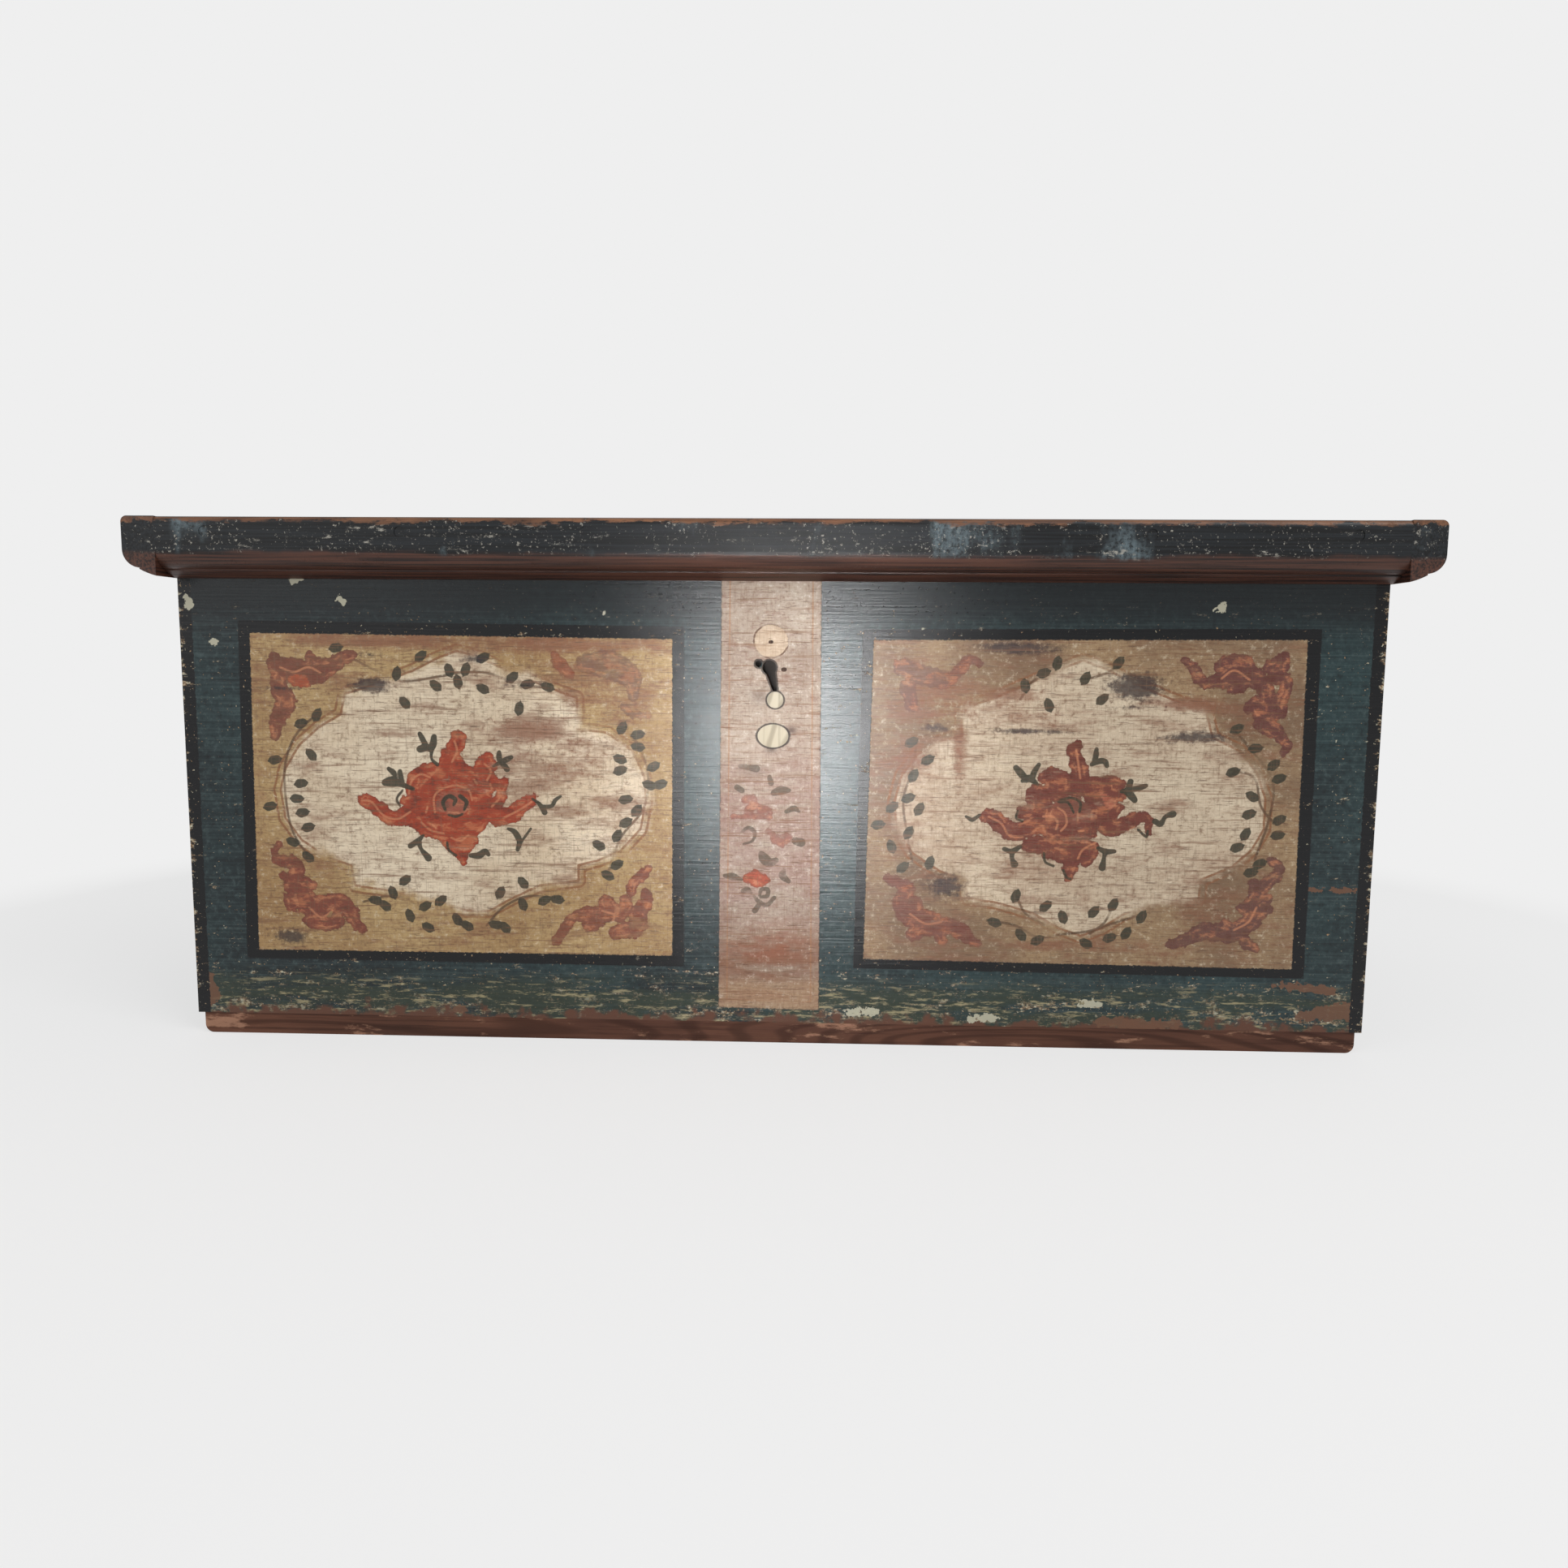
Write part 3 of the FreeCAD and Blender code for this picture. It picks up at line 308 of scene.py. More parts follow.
# Thin stems.
STEM_PIXELS = {
    "left": [
        [(414, 800), (455, 822), (493, 839), (538, 834), (565, 829), (600, 829), (634, 841), (674, 848)],
        [(391, 879), (365, 905), (352, 939), (352, 980), (360, 1022), (379, 1054)], [(767, 896), (789, 922),
        (799, 960), (792, 998), (765, 1032), (748, 1079)], [(448, 1111), (479, 1104), (503, 1108),
        (520, 1120), (548, 1106)], [(687, 1108), (651, 1104), (620, 1118), (600, 1140)], [(562, 1130),
        (579, 1142)],
    ],
    "right": [
        [(1257, 862), (1272, 840), (1298, 829), (1331, 837), (1364, 829), (1383, 814)], [(1520, 898),
        (1542, 925), (1568, 962), (1564, 1007), (1546, 1059)], [(1520, 949), (1546, 959), (1553, 992),
        (1568, 1012), (1577, 1010)], [(1130, 912), (1124, 948), (1113, 985), (1117, 1025), (1124, 1062)],
        [(1216, 1134), (1250, 1140), (1279, 1155), (1309, 1151), (1342, 1147), (1376, 1136), (1407, 1127)],
        [(1252, 1103), (1263, 1125), (1287, 1140)], [(1372, 1114), (1361, 1136), (1342, 1151)],
    ],
}

# On the strip: the mark of an older rosette, and two nail holes, as short strokes with a radius.
ROSETTE_PIXELS = [[(949, 790, 20), (951, 790, 20)]]
NAIL_HOLE_PIXELS = [[(949, 791, 2.5), (951, 791, 2.5)], [(965, 825, 3), (967, 825, 3)]]

# On the ground: chips down to a pale layer, and bare brown spots, as strokes with a radius.
CHIP_PIXELS = [
    [(362, 717, 4), (368, 711, 5)], [(262, 790, 3), (266, 789, 3)], [(1330, 1238, 4), (1352, 1237, 5)],
    [(1195, 1256, 5), (1225, 1254, 5)], [(1045, 1247, 4), (1078, 1246, 5)], [(1500, 752, 3),
    (1508, 748, 5)], [(416, 737, 2), (424, 741, 3)], [(230, 735, 4), (234, 745, 5)], [(738, 752, 2),
    (742, 757, 3)],
]
BARE_PIXELS = [
    [(256, 1203, 8), (258, 1226, 15)], [(566, 1243, 7), (570, 1243, 7)], [(1599, 1095, 2), (1673, 1098, 3)],
    [(1355, 1259, 6), (1400, 1262, 8), (1450, 1262, 6)], [(1600, 1252, 6), (1662, 1246, 13)],
    [(1570, 1214, 3), (1640, 1221, 7)],
]

# Soft stains: a place, half width, half height and strength.
SOOT_PIXELS = {
    "left": [
        (455, 845, 26, 10, 0.9), (458, 808, 22, 6, 0.5), (360, 1154, 25, 10, 0.85), (640, 842, 38, 9, 0.45),
        (350, 848, 55, 3, 0.5), (585, 812, 22, 7, 0.6),
    ],
    "right": [
        (1400, 846, 36, 16, 0.95), (1255, 798, 62, 8, 0.75), (1470, 908, 44, 9, 0.75),
        (1164, 1092, 26, 17, 0.75), (1265, 901, 58, 4, 0.65), (1155, 897, 22, 8, 0.5),
        (1400, 872, 70, 3, 0.4),
    ],
    "strip": [
        (938, 858, 16, 12, 0.4), (975, 900, 6, 5, 0.8), (950, 924, 7, 4, 0.7), (930, 950, 14, 8, 0.3),
    ],
}
RUST_PIXELS = {
    "left": [
        (650, 902, 60, 17, 0.85), (730, 845, 80, 45, 0.45), (470, 790, 150, 12, 0.75),
        (690, 795, 130, 13, 0.7), (690, 940, 90, 50, 0.4), (560, 1150, 90, 12, 0.3),
        (750, 1000, 60, 45, 0.3), (420, 835, 70, 16, 0.4),
    ],
    "right": [
        (1182, 925, 9, 60, 0.55), (1160, 860, 62, 36, 0.5), (1470, 868, 46, 9, 0.8),
        (1245, 858, 52, 12, 0.5), (1260, 885, 72, 10, 0.45), (1330, 1165, 120, 10, 0.4),
        (1560, 885, 30, 25, 0.35), (1120, 930, 32, 42, 0.4), (1500, 1130, 60, 30, 0.3),
    ],
    "strip": [(945, 1165, 60, 28, 0.8), (950, 1000, 45, 14, 0.4), (945, 1225, 60, 8, 0.3)],
}


def srgb(red, green, blue):
    """A colour written as 0 to 255 on screen, in the renderer's linear values."""
    def linear(level):
        level /= 255
        return level / 12.92 if level <= 0.04045 else ((level + 0.055) / 1.055) ** 2.4
    return (linear(red), linear(green), linear(blue), 1.0)


def camera_axes():
    """The camera's right, down and forward directions."""
    yaw, pitch, roll = (math.radians(angle) for angle in CAMERA_TURNS.values())
    ahead = Vector((math.sin(yaw) * math.cos(pitch), math.cos(yaw) * math.cos(pitch), -math.sin(pitch)))
    right = Vector((math.cos(yaw), -math.sin(yaw), 0))
    down = ahead.cross(right)
    turned_right = math.cos(roll) * right + math.sin(roll) * down
    turned_down = math.cos(roll) * down - math.sin(roll) * right
    return turned_right, turned_down, ahead


camera_right, camera_down, camera_ahead = camera_axes()
camera_place = Vector((CAMERA_SIDE, front_face - CAMERA_REACH, CAMERA_HEIGHT))
pixel_size = CAMERA_REACH / FOCAL_PIXELS


def on_front(pixels):
    """Where the sight lines through the photograph's pixels meet the front, as x and z."""
    offset = (np.asarray(pixels, float)[:, :2] - PICTURE_PIXELS / 2) / FOCAL_PIXELS
    ways = offset @ np.array([camera_right, camera_down]) + np.array(camera_ahead)
    hits = np.array(camera_place) + ways * (CAMERA_REACH / ways[:, 1:2])
    return hits[:, [0, 2]]


def through(points):
    """Points along a smooth curve through the given ones."""
    knots = np.asarray(points, float)
    padded = np.vstack([2 * knots[0] - knots[1], knots, 2 * knots[-1] - knots[-2]])
    shares = np.linspace(0, 1, CURVE_STEPS, endpoint=False)[:, None]
    runs = []
    for before, start, end, after in zip(padded, padded[1:], padded[2:], padded[3:]):
        turn = 2 * before - 5 * start + 4 * end - after
        bend = 3 * (start - end) + after - before
        runs.append(0.5 * (2 * start + (end - before) * shares + turn * shares**2 + bend * shares**3))
    return np.vstack(runs + [knots[-1:]])


def along(spots, start, end):
    """The share along a segment that is nearest to each spot, and the spot's distance from it."""
    run = end - start
    share = np.clip(((spots - start) @ run) / float(run @ run), 0, 1)
    return share, np.linalg.norm(spots - start - share[:, None] * run, axis=1)


def stroke_depth(spots, points):
    """Depth inside a brush stroke, positive inside; a point is x, z and the brush's radius."""
    best = np.full(len(spots), -FAR_FROM_PAINT)
    for start, end in zip(points, points[1:]):
        share, away = along(spots, start[:2], end[:2])
        best = np.maximum(best, start[2] + share * (end[2] - start[2]) - away)
    return best


def outline_depth(spots, outline):
    """Depth inside a closed outline, positive inside."""
    away = np.full(len(spots), np.inf)
    inside = np.zeros(len(spots), bool)
    x, z = spots[:, 0], spots[:, 1]
    for start, end in zip(outline, np.roll(outline, -1, axis=0)):
        away = np.minimum(away, along(spots, start, end)[1])
        crosses = (start[1] > z) != (end[1] > z)
        rise = end[1] - start[1]
        if rise:
            inside ^= crosses & (x < start[0] + (z - start[1]) * (end[0] - start[0]) / rise)
    return np.where(inside, away, -away)


def leaf_stroke(u, v, angle):
    """A leaf as a short stroke, widest before its middle, with a pointed end."""
    place = on_front([(u, v)])[0]
    way = np.array([math.cos(math.radians(angle)), math.sin(math.radians(angle))]) * LEAF_LENGTH / 2
    return np.array([[*(place + way * reach), LEAF_WIDTH * wide] for reach, wide in LEAF_SPINE_SHARES])


def brush_stroke(pixels, radius=None, spread=0):
    """A smooth stroke. Unless a radius is given, its points carry the brush's radius in pixels."""
    radii = np.full(len(pixels), radius) if radius else np.array(pixels, float)[:, 2] * pixel_size
    return through(np.column_stack([on_front(pixels), radii + spread]))


class Fields:
    """What is painted at each spot of a skin: depths inside shapes, and shares for stains and hues."""

    def __init__(self, spots):
        self.spots = spots
        self.depths = {}
        self.shares = {}

    def depth(self, name):
        return self.depths.setdefault(name, np.full(len(self.spots), -FAR_FROM_PAINT))

    def share(self, name):
        return self.shares.setdefault(name, np.zeros(len(self.spots)))

    def stroke(self, name, points, **marks):
        """Lays a stroke on the spots near it. Marks are shares kept where this stroke is the deepest."""
        held = self.depth(name)
        margin = points[:, 2].max() + STROKE_MARGIN
        low, high = points[:, :2].min(axis=0) - margin, points[:, :2].max(axis=0) + margin
        near = np.flatnonzero(((self.spots > low) & (self.spots < high)).all(axis=1))
        depth = stroke_depth(self.spots[near], points)
        deeper = depth > held[near]
        held[near[deeper]] = depth[deeper]
        for mark, level in marks.items():
            self.share(mark)[near[deeper]] = level

    def strokes(self, name, rows, radius=None, spread=0, **marks):
        for pixels in rows:
            self.stroke(name, brush_stroke(pixels, radius, spread), **marks)

    def outline(self, name, pixels):
        self.depths[name] = np.maximum(self.depth(name), outline_depth(self.spots, on_front(pixels)))

    def stains(self, name, rows):
        held = self.share(name)
        for row in rows:
            offset = (self.spots - on_front([row])) / (np.array(row[2:4]) * pixel_size)
            held[:] = np.maximum(held, row[4] * np.exp(-(offset**2).sum(axis=1)))

    def ornament(self, area):
        """What the panels and the strip share."""
        self.outline("rim", CORNER_PIXELS[area])
        for hue, strength, rows in SCROLL_PIXELS[area].values():
            self.strokes("scroll", rows, hue=hue, strength=strength)
        self.strokes("leaf", DAB_PIXELS[area], spread=DAB_SPREAD)
        self.stains("soot", SOOT_PIXELS[area])
        self.stains("rust", RUST_PIXELS[area])


# The keyhole's parts, as shares of its stated opening and of its radius.
KEYHOLE_RADIUS_SHARE = 0.725
KEYHOLE_SLOT_SHARE = 0.69
KEYHOLE_FOOT_SHARES = (0.75, -3.0, 0.37)
KEYHOLE_NOTCH_SHARES = (-1.5, 0.5, 0.5)
# Shares of a cell: how near a hole's outline a spot is moved onto it, and over what its slope is felt.
HOLE_NEAR_SHARE, HOLE_SLOPE_SHARE = 0.6, 0.01
HOLE_SLOPE_LEAST = 0.1


def hole_depths(spots):
    """Depth inside the keyhole or a plug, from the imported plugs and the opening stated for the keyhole."""
    depths = []
    for name in ("old_lock_plug_round", "old_lock_plug_oval"):
        low, high = (np.array(corner)[[0, 2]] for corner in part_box(name))
        half = (high - low) / 2
        away = np.linalg.norm((spots - (low + high) / 2) / half, axis=1)
        depths.append((1 - away) * half.min())
    stated = next(o for o in frame["record"]["physics"]["openings"] if o["name"] == "keyhole")
    low, high = (np.array(corner)[[0, 2]] for corner in stated["box_m"])
    centre, radius = (low + high) / 2, (high - low).min() * KEYHOLE_RADIUS_SHARE
    foot = centre + radius * np.array(KEYHOLE_FOOT_SHARES[:2])
    notch = centre + radius * np.array(KEYHOLE_NOTCH_SHARES[:2])
    depths.append(radius - np.linalg.norm(spots - centre, axis=1))
    depths.append(radius * KEYHOLE_NOTCH_SHARES[2] - np.linalg.norm(spots - notch, axis=1))
    slot = np.array([[*centre, radius * KEYHOLE_SLOT_SHARE], [*foot, radius * KEYHOLE_FOOT_SHARES[2]]])
    depths.append(stroke_depth(spots, slot))
    return np.max(depths, axis=0)


def grid(corners, cell):
    """Spots and faces of a grid between four corners, from the lower left one."""
    corners = np.asarray(corners, float)
    columns = int(np.linalg.norm(corners[1] - corners[0]) / cell) + 2
    rows = int(np.linalg.norm(corners[3] - corners[0]) / cell) + 2
    across, up = np.meshgrid(np.linspace(0, 1, columns), np.linspace(0, 1, rows))
    across, up = across.reshape(-1, 1), up.reshape(-1, 1)
    foot = corners[0] + across * (corners[1] - corners[0])
    head = corners[3] + across * (corners[2] - corners[3])
    first = (np.arange(rows - 1)[:, None] * columns + np.arange(columns - 1)).ravel()
    faces = np.stack([first, first + 1, first + columns + 1, first + columns], axis=1)
    return foot + up * (head - foot), faces


def pierced(spots, faces, cell):
    """The grid with spots moved onto the holes' outlines, and without the faces inside them."""
    depth = hole_depths(spots)
    near = np.flatnonzero(np.abs(depth) < HOLE_NEAR_SHARE * cell)
    nudge = HOLE_SLOPE_SHARE * cell
    slopes = [(hole_depths(spots[near] + way) - depth[near]) / nudge for way in np.eye(2) * nudge]
    slope = np.stack(slopes, axis=1)
    spots[near] -= slope * (depth[near] / np.maximum((slope**2).sum(axis=1), HOLE_SLOPE_LEAST))[:, None]
    return spots, faces[hole_depths(spots[faces].mean(axis=1)) < 0]


def skin(name, faces, film, fields, material):
    """A film of paint on the front that carries its fields to the material."""
    used, numbers = np.unique(faces, return_inverse=True)
    x, z = fields.spots[used].T
    mesh = bpy.data.meshes.new(name)
    places = np.stack([x, np.full(len(used), front_face - film), z], axis=1)
    mesh.from_pydata(places, [], numbers.reshape(faces.shape).tolist())
    for field, levels in {**fields.depths, **fields.shares}.items():
        held = mesh.attributes.new(field, "FLOAT", "POINT")
        held.data.foreach_set("value", levels[used].astype(np.float32))
    mesh.materials.append(material)
    made = bpy.data.objects.new(name, mesh)
    bpy.context.collection.objects.link(made)
    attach(made, "carcass")


def ground_skin():
    low, high = (-carcass_half, front_foot), (carcass_half, front_head)
    spots, faces = grid([low, (high[0], low[1]), high, (low[0], high[1])], GROUND_CELL)
    fields = Fields(spots)
    for pixels in BORDER_PIXELS.values():
        fields.outline("border", pixels)
    fields.strokes("chip", CHIP_PIXELS)
    fields.strokes("bare", BARE_PIXELS)
    strip = outline_depth(spots, on_front(CORNER_PIXELS["strip"]))
    covered = strip[faces].min(axis=1) > GROUND_CELL
    skin("front_ground_paint", faces[~covered], GROUND_FILM, fields, ground_look())


def panel_skin(side, tones):
    spots, faces = grid(on_front(CORNER_PIXELS[side]), ORNAMENT_CELL)
    fields = Fields(spots)
    fields.ornament(side)
    fields.outline("cartouche", CARTOUCHE_PIXELS[side])
    for leaf in LEAF_PIXELS[side]:
        fields.stroke("leaf", leaf_stroke(*leaf))
    fields.strokes("stem", STEM_PIXELS[side], STEM_RADIUS)
    fields.strokes("swirl", SWIRL_PIXELS[side], SWIRL_RADIUS)
    name = f"{side}_panel_paint"
    skin(name, faces, ORNAMENT_FILM, fields, panel_look(name, tones))


def strip_skin():
    spots, faces = grid(on_front(CORNER_PIXELS["strip"]), ORNAMENT_CELL)
    spots, faces = pierced(spots, faces, ORNAMENT_CELL)
    fields = Fields(spots)
    fields.ornament("strip")
    fields.strokes("rosette", ROSETTE_PIXELS)
    fields.strokes("nail_hole", NAIL_HOLE_PIXELS)
    fields.depths["hole"] = hole_depths(spots)
    skin("strip_paint", faces, ORNAMENT_FILM, fields, strip_look())


class Level:
    """A value that a material works out at each spot."""

    def __init__(self, look, socket):
        self.look, self.socket = look, socket

    def __add__(self, other):
        return self.look.math("ADD", self, other)

    def __sub__(self, other):
        return self.look.math("SUBTRACT", self, other)

    def __rsub__(self, other):
        return self.look.math("SUBTRACT", other, self)

    def __mul__(self, other):
        return self.look.math("MULTIPLY", self, other)

    def __abs__(self):
        return self.look.math("ABSOLUTE", self)

    def most(self, other):
        return self.look.math("MAXIMUM", self, other)

    def step(self, low, high):
        """0 at low, 1 at high and smooth between; low may be the larger one."""
        made = self.look.node("ShaderNodeMapRange", {"interpolation_type": "SMOOTHSTEP"}, Value=self)
        ends = {"From Min": min(low, high), "From Max": max(low, high)}
        for name, level in {**ends, "To Min": float(low > high), "To Max": float(low < high)}.items():
            made.inputs[name].default_value = level
        return Level(self.look, made.outputs["Result"])

    def band(self, middle, half, soft):
        """1 within half of the middle, fading over soft."""
        return abs(self - middle).step(half + soft, half)


class Coats(Level):
    """A colour that is laid on in coats."""

    def lay(self, tone, amount):
        self.socket = self.look.mix(amount, self, tone).socket


class Look:
    """A material's node tree, with short names for the nodes that the looks use."""

    def __init__(self, name):
        self.material = bpy.data.materials.new(name)
        self.material.use_nodes = True
        self.tree = self.material.node_tree
        self.shader = self.tree.nodes["Principled BSDF"]
        self.place = self.node("ShaderNodeTexCoord").outputs["Object"]
        axes = self.node("ShaderNodeSeparateXYZ", Vector=self.place).outputs
        self.x, self.y, self.z = (Level(self, axis) for axis in axes)

    def node(self, kind, settings=None, **inputs):
        made = self.tree.nodes.new(kind)
        for name, setting in (settings or {}).items():
            setattr(made, name, setting)
        for name, given in inputs.items():
            self.feed(made.inputs[name], given)
        return made

    def feed(self, socket, given):
        given = given.socket if isinstance(given, Level) else given
        if isinstance(given, bpy.types.NodeSocket):
            self.tree.links.new(given, socket)
        else:
            socket.default_value = given

    def math(self, operation, first, second=0.0):
        made = self.node("ShaderNodeMath", {"operation": operation})
        self.feed(made.inputs[0], first)
        self.feed(made.inputs[1], second)
        return Level(self, made.outputs[0])

    def mix(self, amount, first, second):
        made = self.node("ShaderNodeMix", {"data_type": "RGBA"})
        self.feed(made.inputs[0], amount)
        self.feed(made.inputs[6], first)
        self.feed(made.inputs[7], second)
        return Coats(self, made.outputs[2])

    def noise(self, scale, detail=3.0, rough=0.55, stretch=(1, 1, 1), shift=(0, 0, 0)):
        where = self.node("ShaderNodeMapping", Vector=self.place, Scale=stretch, Location=shift).outputs[0]
        made = self.node("ShaderNodeTexNoise", Vector=where, Scale=scale, Detail=detail, Roughness=rough)
        return Level(self, made.outputs["Fac"])

    def swing(self, scale, size, shift=(0, 0, 0)):
        """Noise about zero, of the given size."""
        return (self.noise(scale, shift=shift) - 0.5) * size

    def field(self, name):
        return Level(self, self.node("ShaderNodeAttribute", {"attribute_name": name}).outputs["Fac"])

    def shade(self, **inputs):
        """Sets the shader's inputs; a low line in a name stands for a space."""
        for name, given in inputs.items():
            self.feed(self.shader.inputs[name.replace("_", " ")], given)

    def finish(self, paint, roughness, height, relief, metallic=0.0, specular=0.2):
        bump = self.node("ShaderNodeBump", Height=height, Distance=relief, Strength=0.6).outputs[0]
        self.shade(Base_Color=paint, Roughness=roughness, Normal=bump, Metallic=metallic)
        self.shade(Specular_IOR_Level=specular)
        return self.material


BLACK_PAINT = srgb(9, 10, 13)
TEAL, TEAL_DEEP, TEAL_LIGHT = srgb(37, 57, 59), srgb(24, 34, 37), srgb(72, 88, 88)
PALE_FLECK, TAN_FLECK = srgb(186, 182, 160), srgb(158, 124, 88)
WORN_BROWN = srgb(92, 58, 42)
PINE_TONES = srgb(112, 82, 56), srgb(150, 116, 82)
PAINT_RELIEF, WOOD_RELIEF, PAINT_SKIN = 0.4 * MM, 0.6 * MM, 2.0 * MM

# How far up from the foot, down from the top or in from the ends wear and painted shade reach on the front.
FOOT_WEAR, FOOT_GREEN, TOP_PAINTED_SHADE, SIDE_WEAR = 80 * MM, 55 * MM, 95 * MM, 9 * MM


def grain_stretch(axis, fine, long=6.0):
    """Scales for noise that runs in long lines along one axis."""
    return tuple(long if i == axis else fine for i in range(3))


def flecks(look, wear):
    """Small chips of paint. Wear raises their share. Gives where they are and their tone."""
    flake = look.noise(85, 8, 0.75, stretch=(0.55, 0.55, 1.5))
    chip = look.noise(260, 4, 0.65, shift=(2, 7, 1))
    speck = look.noise(330, 3, 0.6, shift=(5, 1, 8))
    where = (flake + wear).step(0.62, 0.68) * chip.step(0.36, 0.56)
    tone = look.mix(chip.step(0.45, 0.62), TAN_FLECK, PALE_FLECK)
    return where.most((speck + wear * 0.5).step(0.67, 0.72)), tone


def teal_ground(look, wear):
    """Worn teal paint. Gives its colour, and a height for the relief."""
    blotch = look.noise(6, 5)
    streak = look.noise(1, 6, 0.62, stretch=(9, 9, 420))
    mottle = look.noise(150, 6, 0.7, shift=(3, 2, 6))
    paint = look.mix(blotch.step(0.3, 0.7), TEAL_DEEP, TEAL)
    paint.lay(TEAL_LIGHT, streak.step(0.46, 0.72) * 0.4)
    paint.lay(BLACK_PAINT, streak.step(0.46, 0.3) * 0.45)
    paint.lay(TEAL_LIGHT, mottle.step(0.5, 0.7) * 0.5)
    paint.lay(BLACK_PAINT, mottle.step(0.48, 0.3) * 0.6)
    where, tone = flecks(look, wear)
    paint.lay(tone, where)
    return paint, streak - where * 0.5


def ground_look():
    """Teal with black borders round the panels, black ends, a worn green-brown foot, and painted shade that
    darkens the top under the lid.
    """
    look = Look("front_ground_paint")
    edge = carcass_half - abs(look.x)
    ragged = look.swing(330, BRUSH_RAGGED)
    torn = look.swing(170, CHIP_RAGGED, shift=(6, 0, 1))
    patch = look.noise(24, 6, 0.66, stretch=(0.4, 1, 2.6), shift=(1, 0, 4))
    dash = look.noise(1, 5, 0.7, stretch=(38, 1, 240), shift=(0, 0, 9))
    side = edge.step(SIDE_WEAR, 0)
    wear = look.z.step(front_foot + FOOT_WEAR, front_foot) * 0.1 + side * 0.06
    paint, height = teal_ground(look, wear)
    # Painted shade: the teal darkens towards the top, where the lid's shadow falls.
    shade = look.z.step(front_head - TOP_PAINTED_SHADE, front_head - TOP_PAINTED_SHADE / 2)
    paint.lay(srgb(19, 23, 26), shade * 0.85)
    green = look.z.step(front_foot + FOOT_GREEN, front_foot + FOOT_GREEN / 2) * 0.75
    paint.lay(srgb(48, 56, 42), green * patch.step(0.36, 0.56))
    paint.lay(srgb(164, 152, 116), green * dash.step(0.54, 0.64))
    bare = look.z + look.swing(60, FOOT_GREEN)
    paint.lay(WORN_BROWN, bare.step(front_foot + SIDE_WEAR, front_foot))
    paint.lay(srgb(108, 74, 54), (look.field("bare") + torn).step(0, BRUSH_SOFT) * 0.85)
    border = (look.field("border") + ragged * 0.6).step(-BRUSH_SOFT, BRUSH_SOFT)
    stripe = (edge + ragged).step(EDGE_STRIPE + BRUSH_SOFT, EDGE_STRIPE)
    chipped, tone = flecks(look, side * 0.1)
    paint.lay(look.mix(chipped, BLACK_PAINT, tone), border.most(stripe))
    paint.lay(PALE_FLECK, (look.field("chip") + torn).step(0, BRUSH_SOFT) * 0.85)
    return look.finish(paint, height * 0.1 + 0.2, height, PAINT_RELIEF, specular=0.36)


def grain_lines(look, paint, amount):
    """Lays dark wood grain over paint in long lines, some broad and some fine. Gives a height."""
    broad = look.noise(1, 6, 0.66, stretch=(16, 1, 380), shift=(3, 0, 1))
    fine = look.noise(1, 5, 0.66, stretch=(60, 1, 800), shift=(1, 0, 5))
    crackle = look.noise(1, 4, 0.6, stretch=(760, 1, 46), shift=(4, 0, 2))
    paint.lay(srgb(118, 82, 58), broad.step(0.52, 0.68) * amount)
    paint.lay(srgb(88, 62, 46), fine.step(0.54, 0.68) * amount)
    paint.lay(srgb(116, 92, 72), crackle.step(0.52, 0.7) * (amount / 2))
    return broad + fine


def red_paint(look, wobble):
    """The scrolls' red with a dark rim and brushed lights. Gives its colour and where it lies."""
    hue = look.field("hue")
    brush = look.noise(64, 5, 0.64, stretch=(0.8, 1, 1.5), shift=(8, 0, 3))
    curl = look.swing(130, SCROLL_CURL, shift=(5, 0, 2))
    depth = look.field("scroll") + wobble * 1.5 + curl + SCROLL_SPREAD
    red = look.mix(hue.step(0, 0.5), srgb(158, 60, 34), srgb(112, 58, 47))
    red.lay(srgb(88, 61, 59), hue.step(0.5, 1))
    red.lay(srgb(198, 124, 84), brush.step(0.5, 0.66) * 0.5)
    red.lay(srgb(86, 40, 30), brush.step(0.47, 0.34) * 0.65)
    line = depth.band(SCROLL_LIGHT, OUTLINE_HALF, OUTLINE_HALF)
    red.lay(srgb(206, 140, 100), line * brush.step(0.45, 0.58) * 0.35)
    red.lay(srgb(86, 44, 34), depth.step(SCROLL_RIM, SCROLL_RIM / 2) * 0.5)
    return red, depth.step(-BRUSH_SOFT, BRUSH_SOFT) * look.field("strength")


def leaf_paint(look, wobble):
    """The leaves' dark green and where it lies."""
    depth = look.field("leaf") + wobble * 0.4
    green = look.mix(look.noise(300), srgb(30, 30, 25), srgb(70, 66, 48))
    return green, depth.step(-BRUSH_SOFT / 2, BRUSH_SOFT)


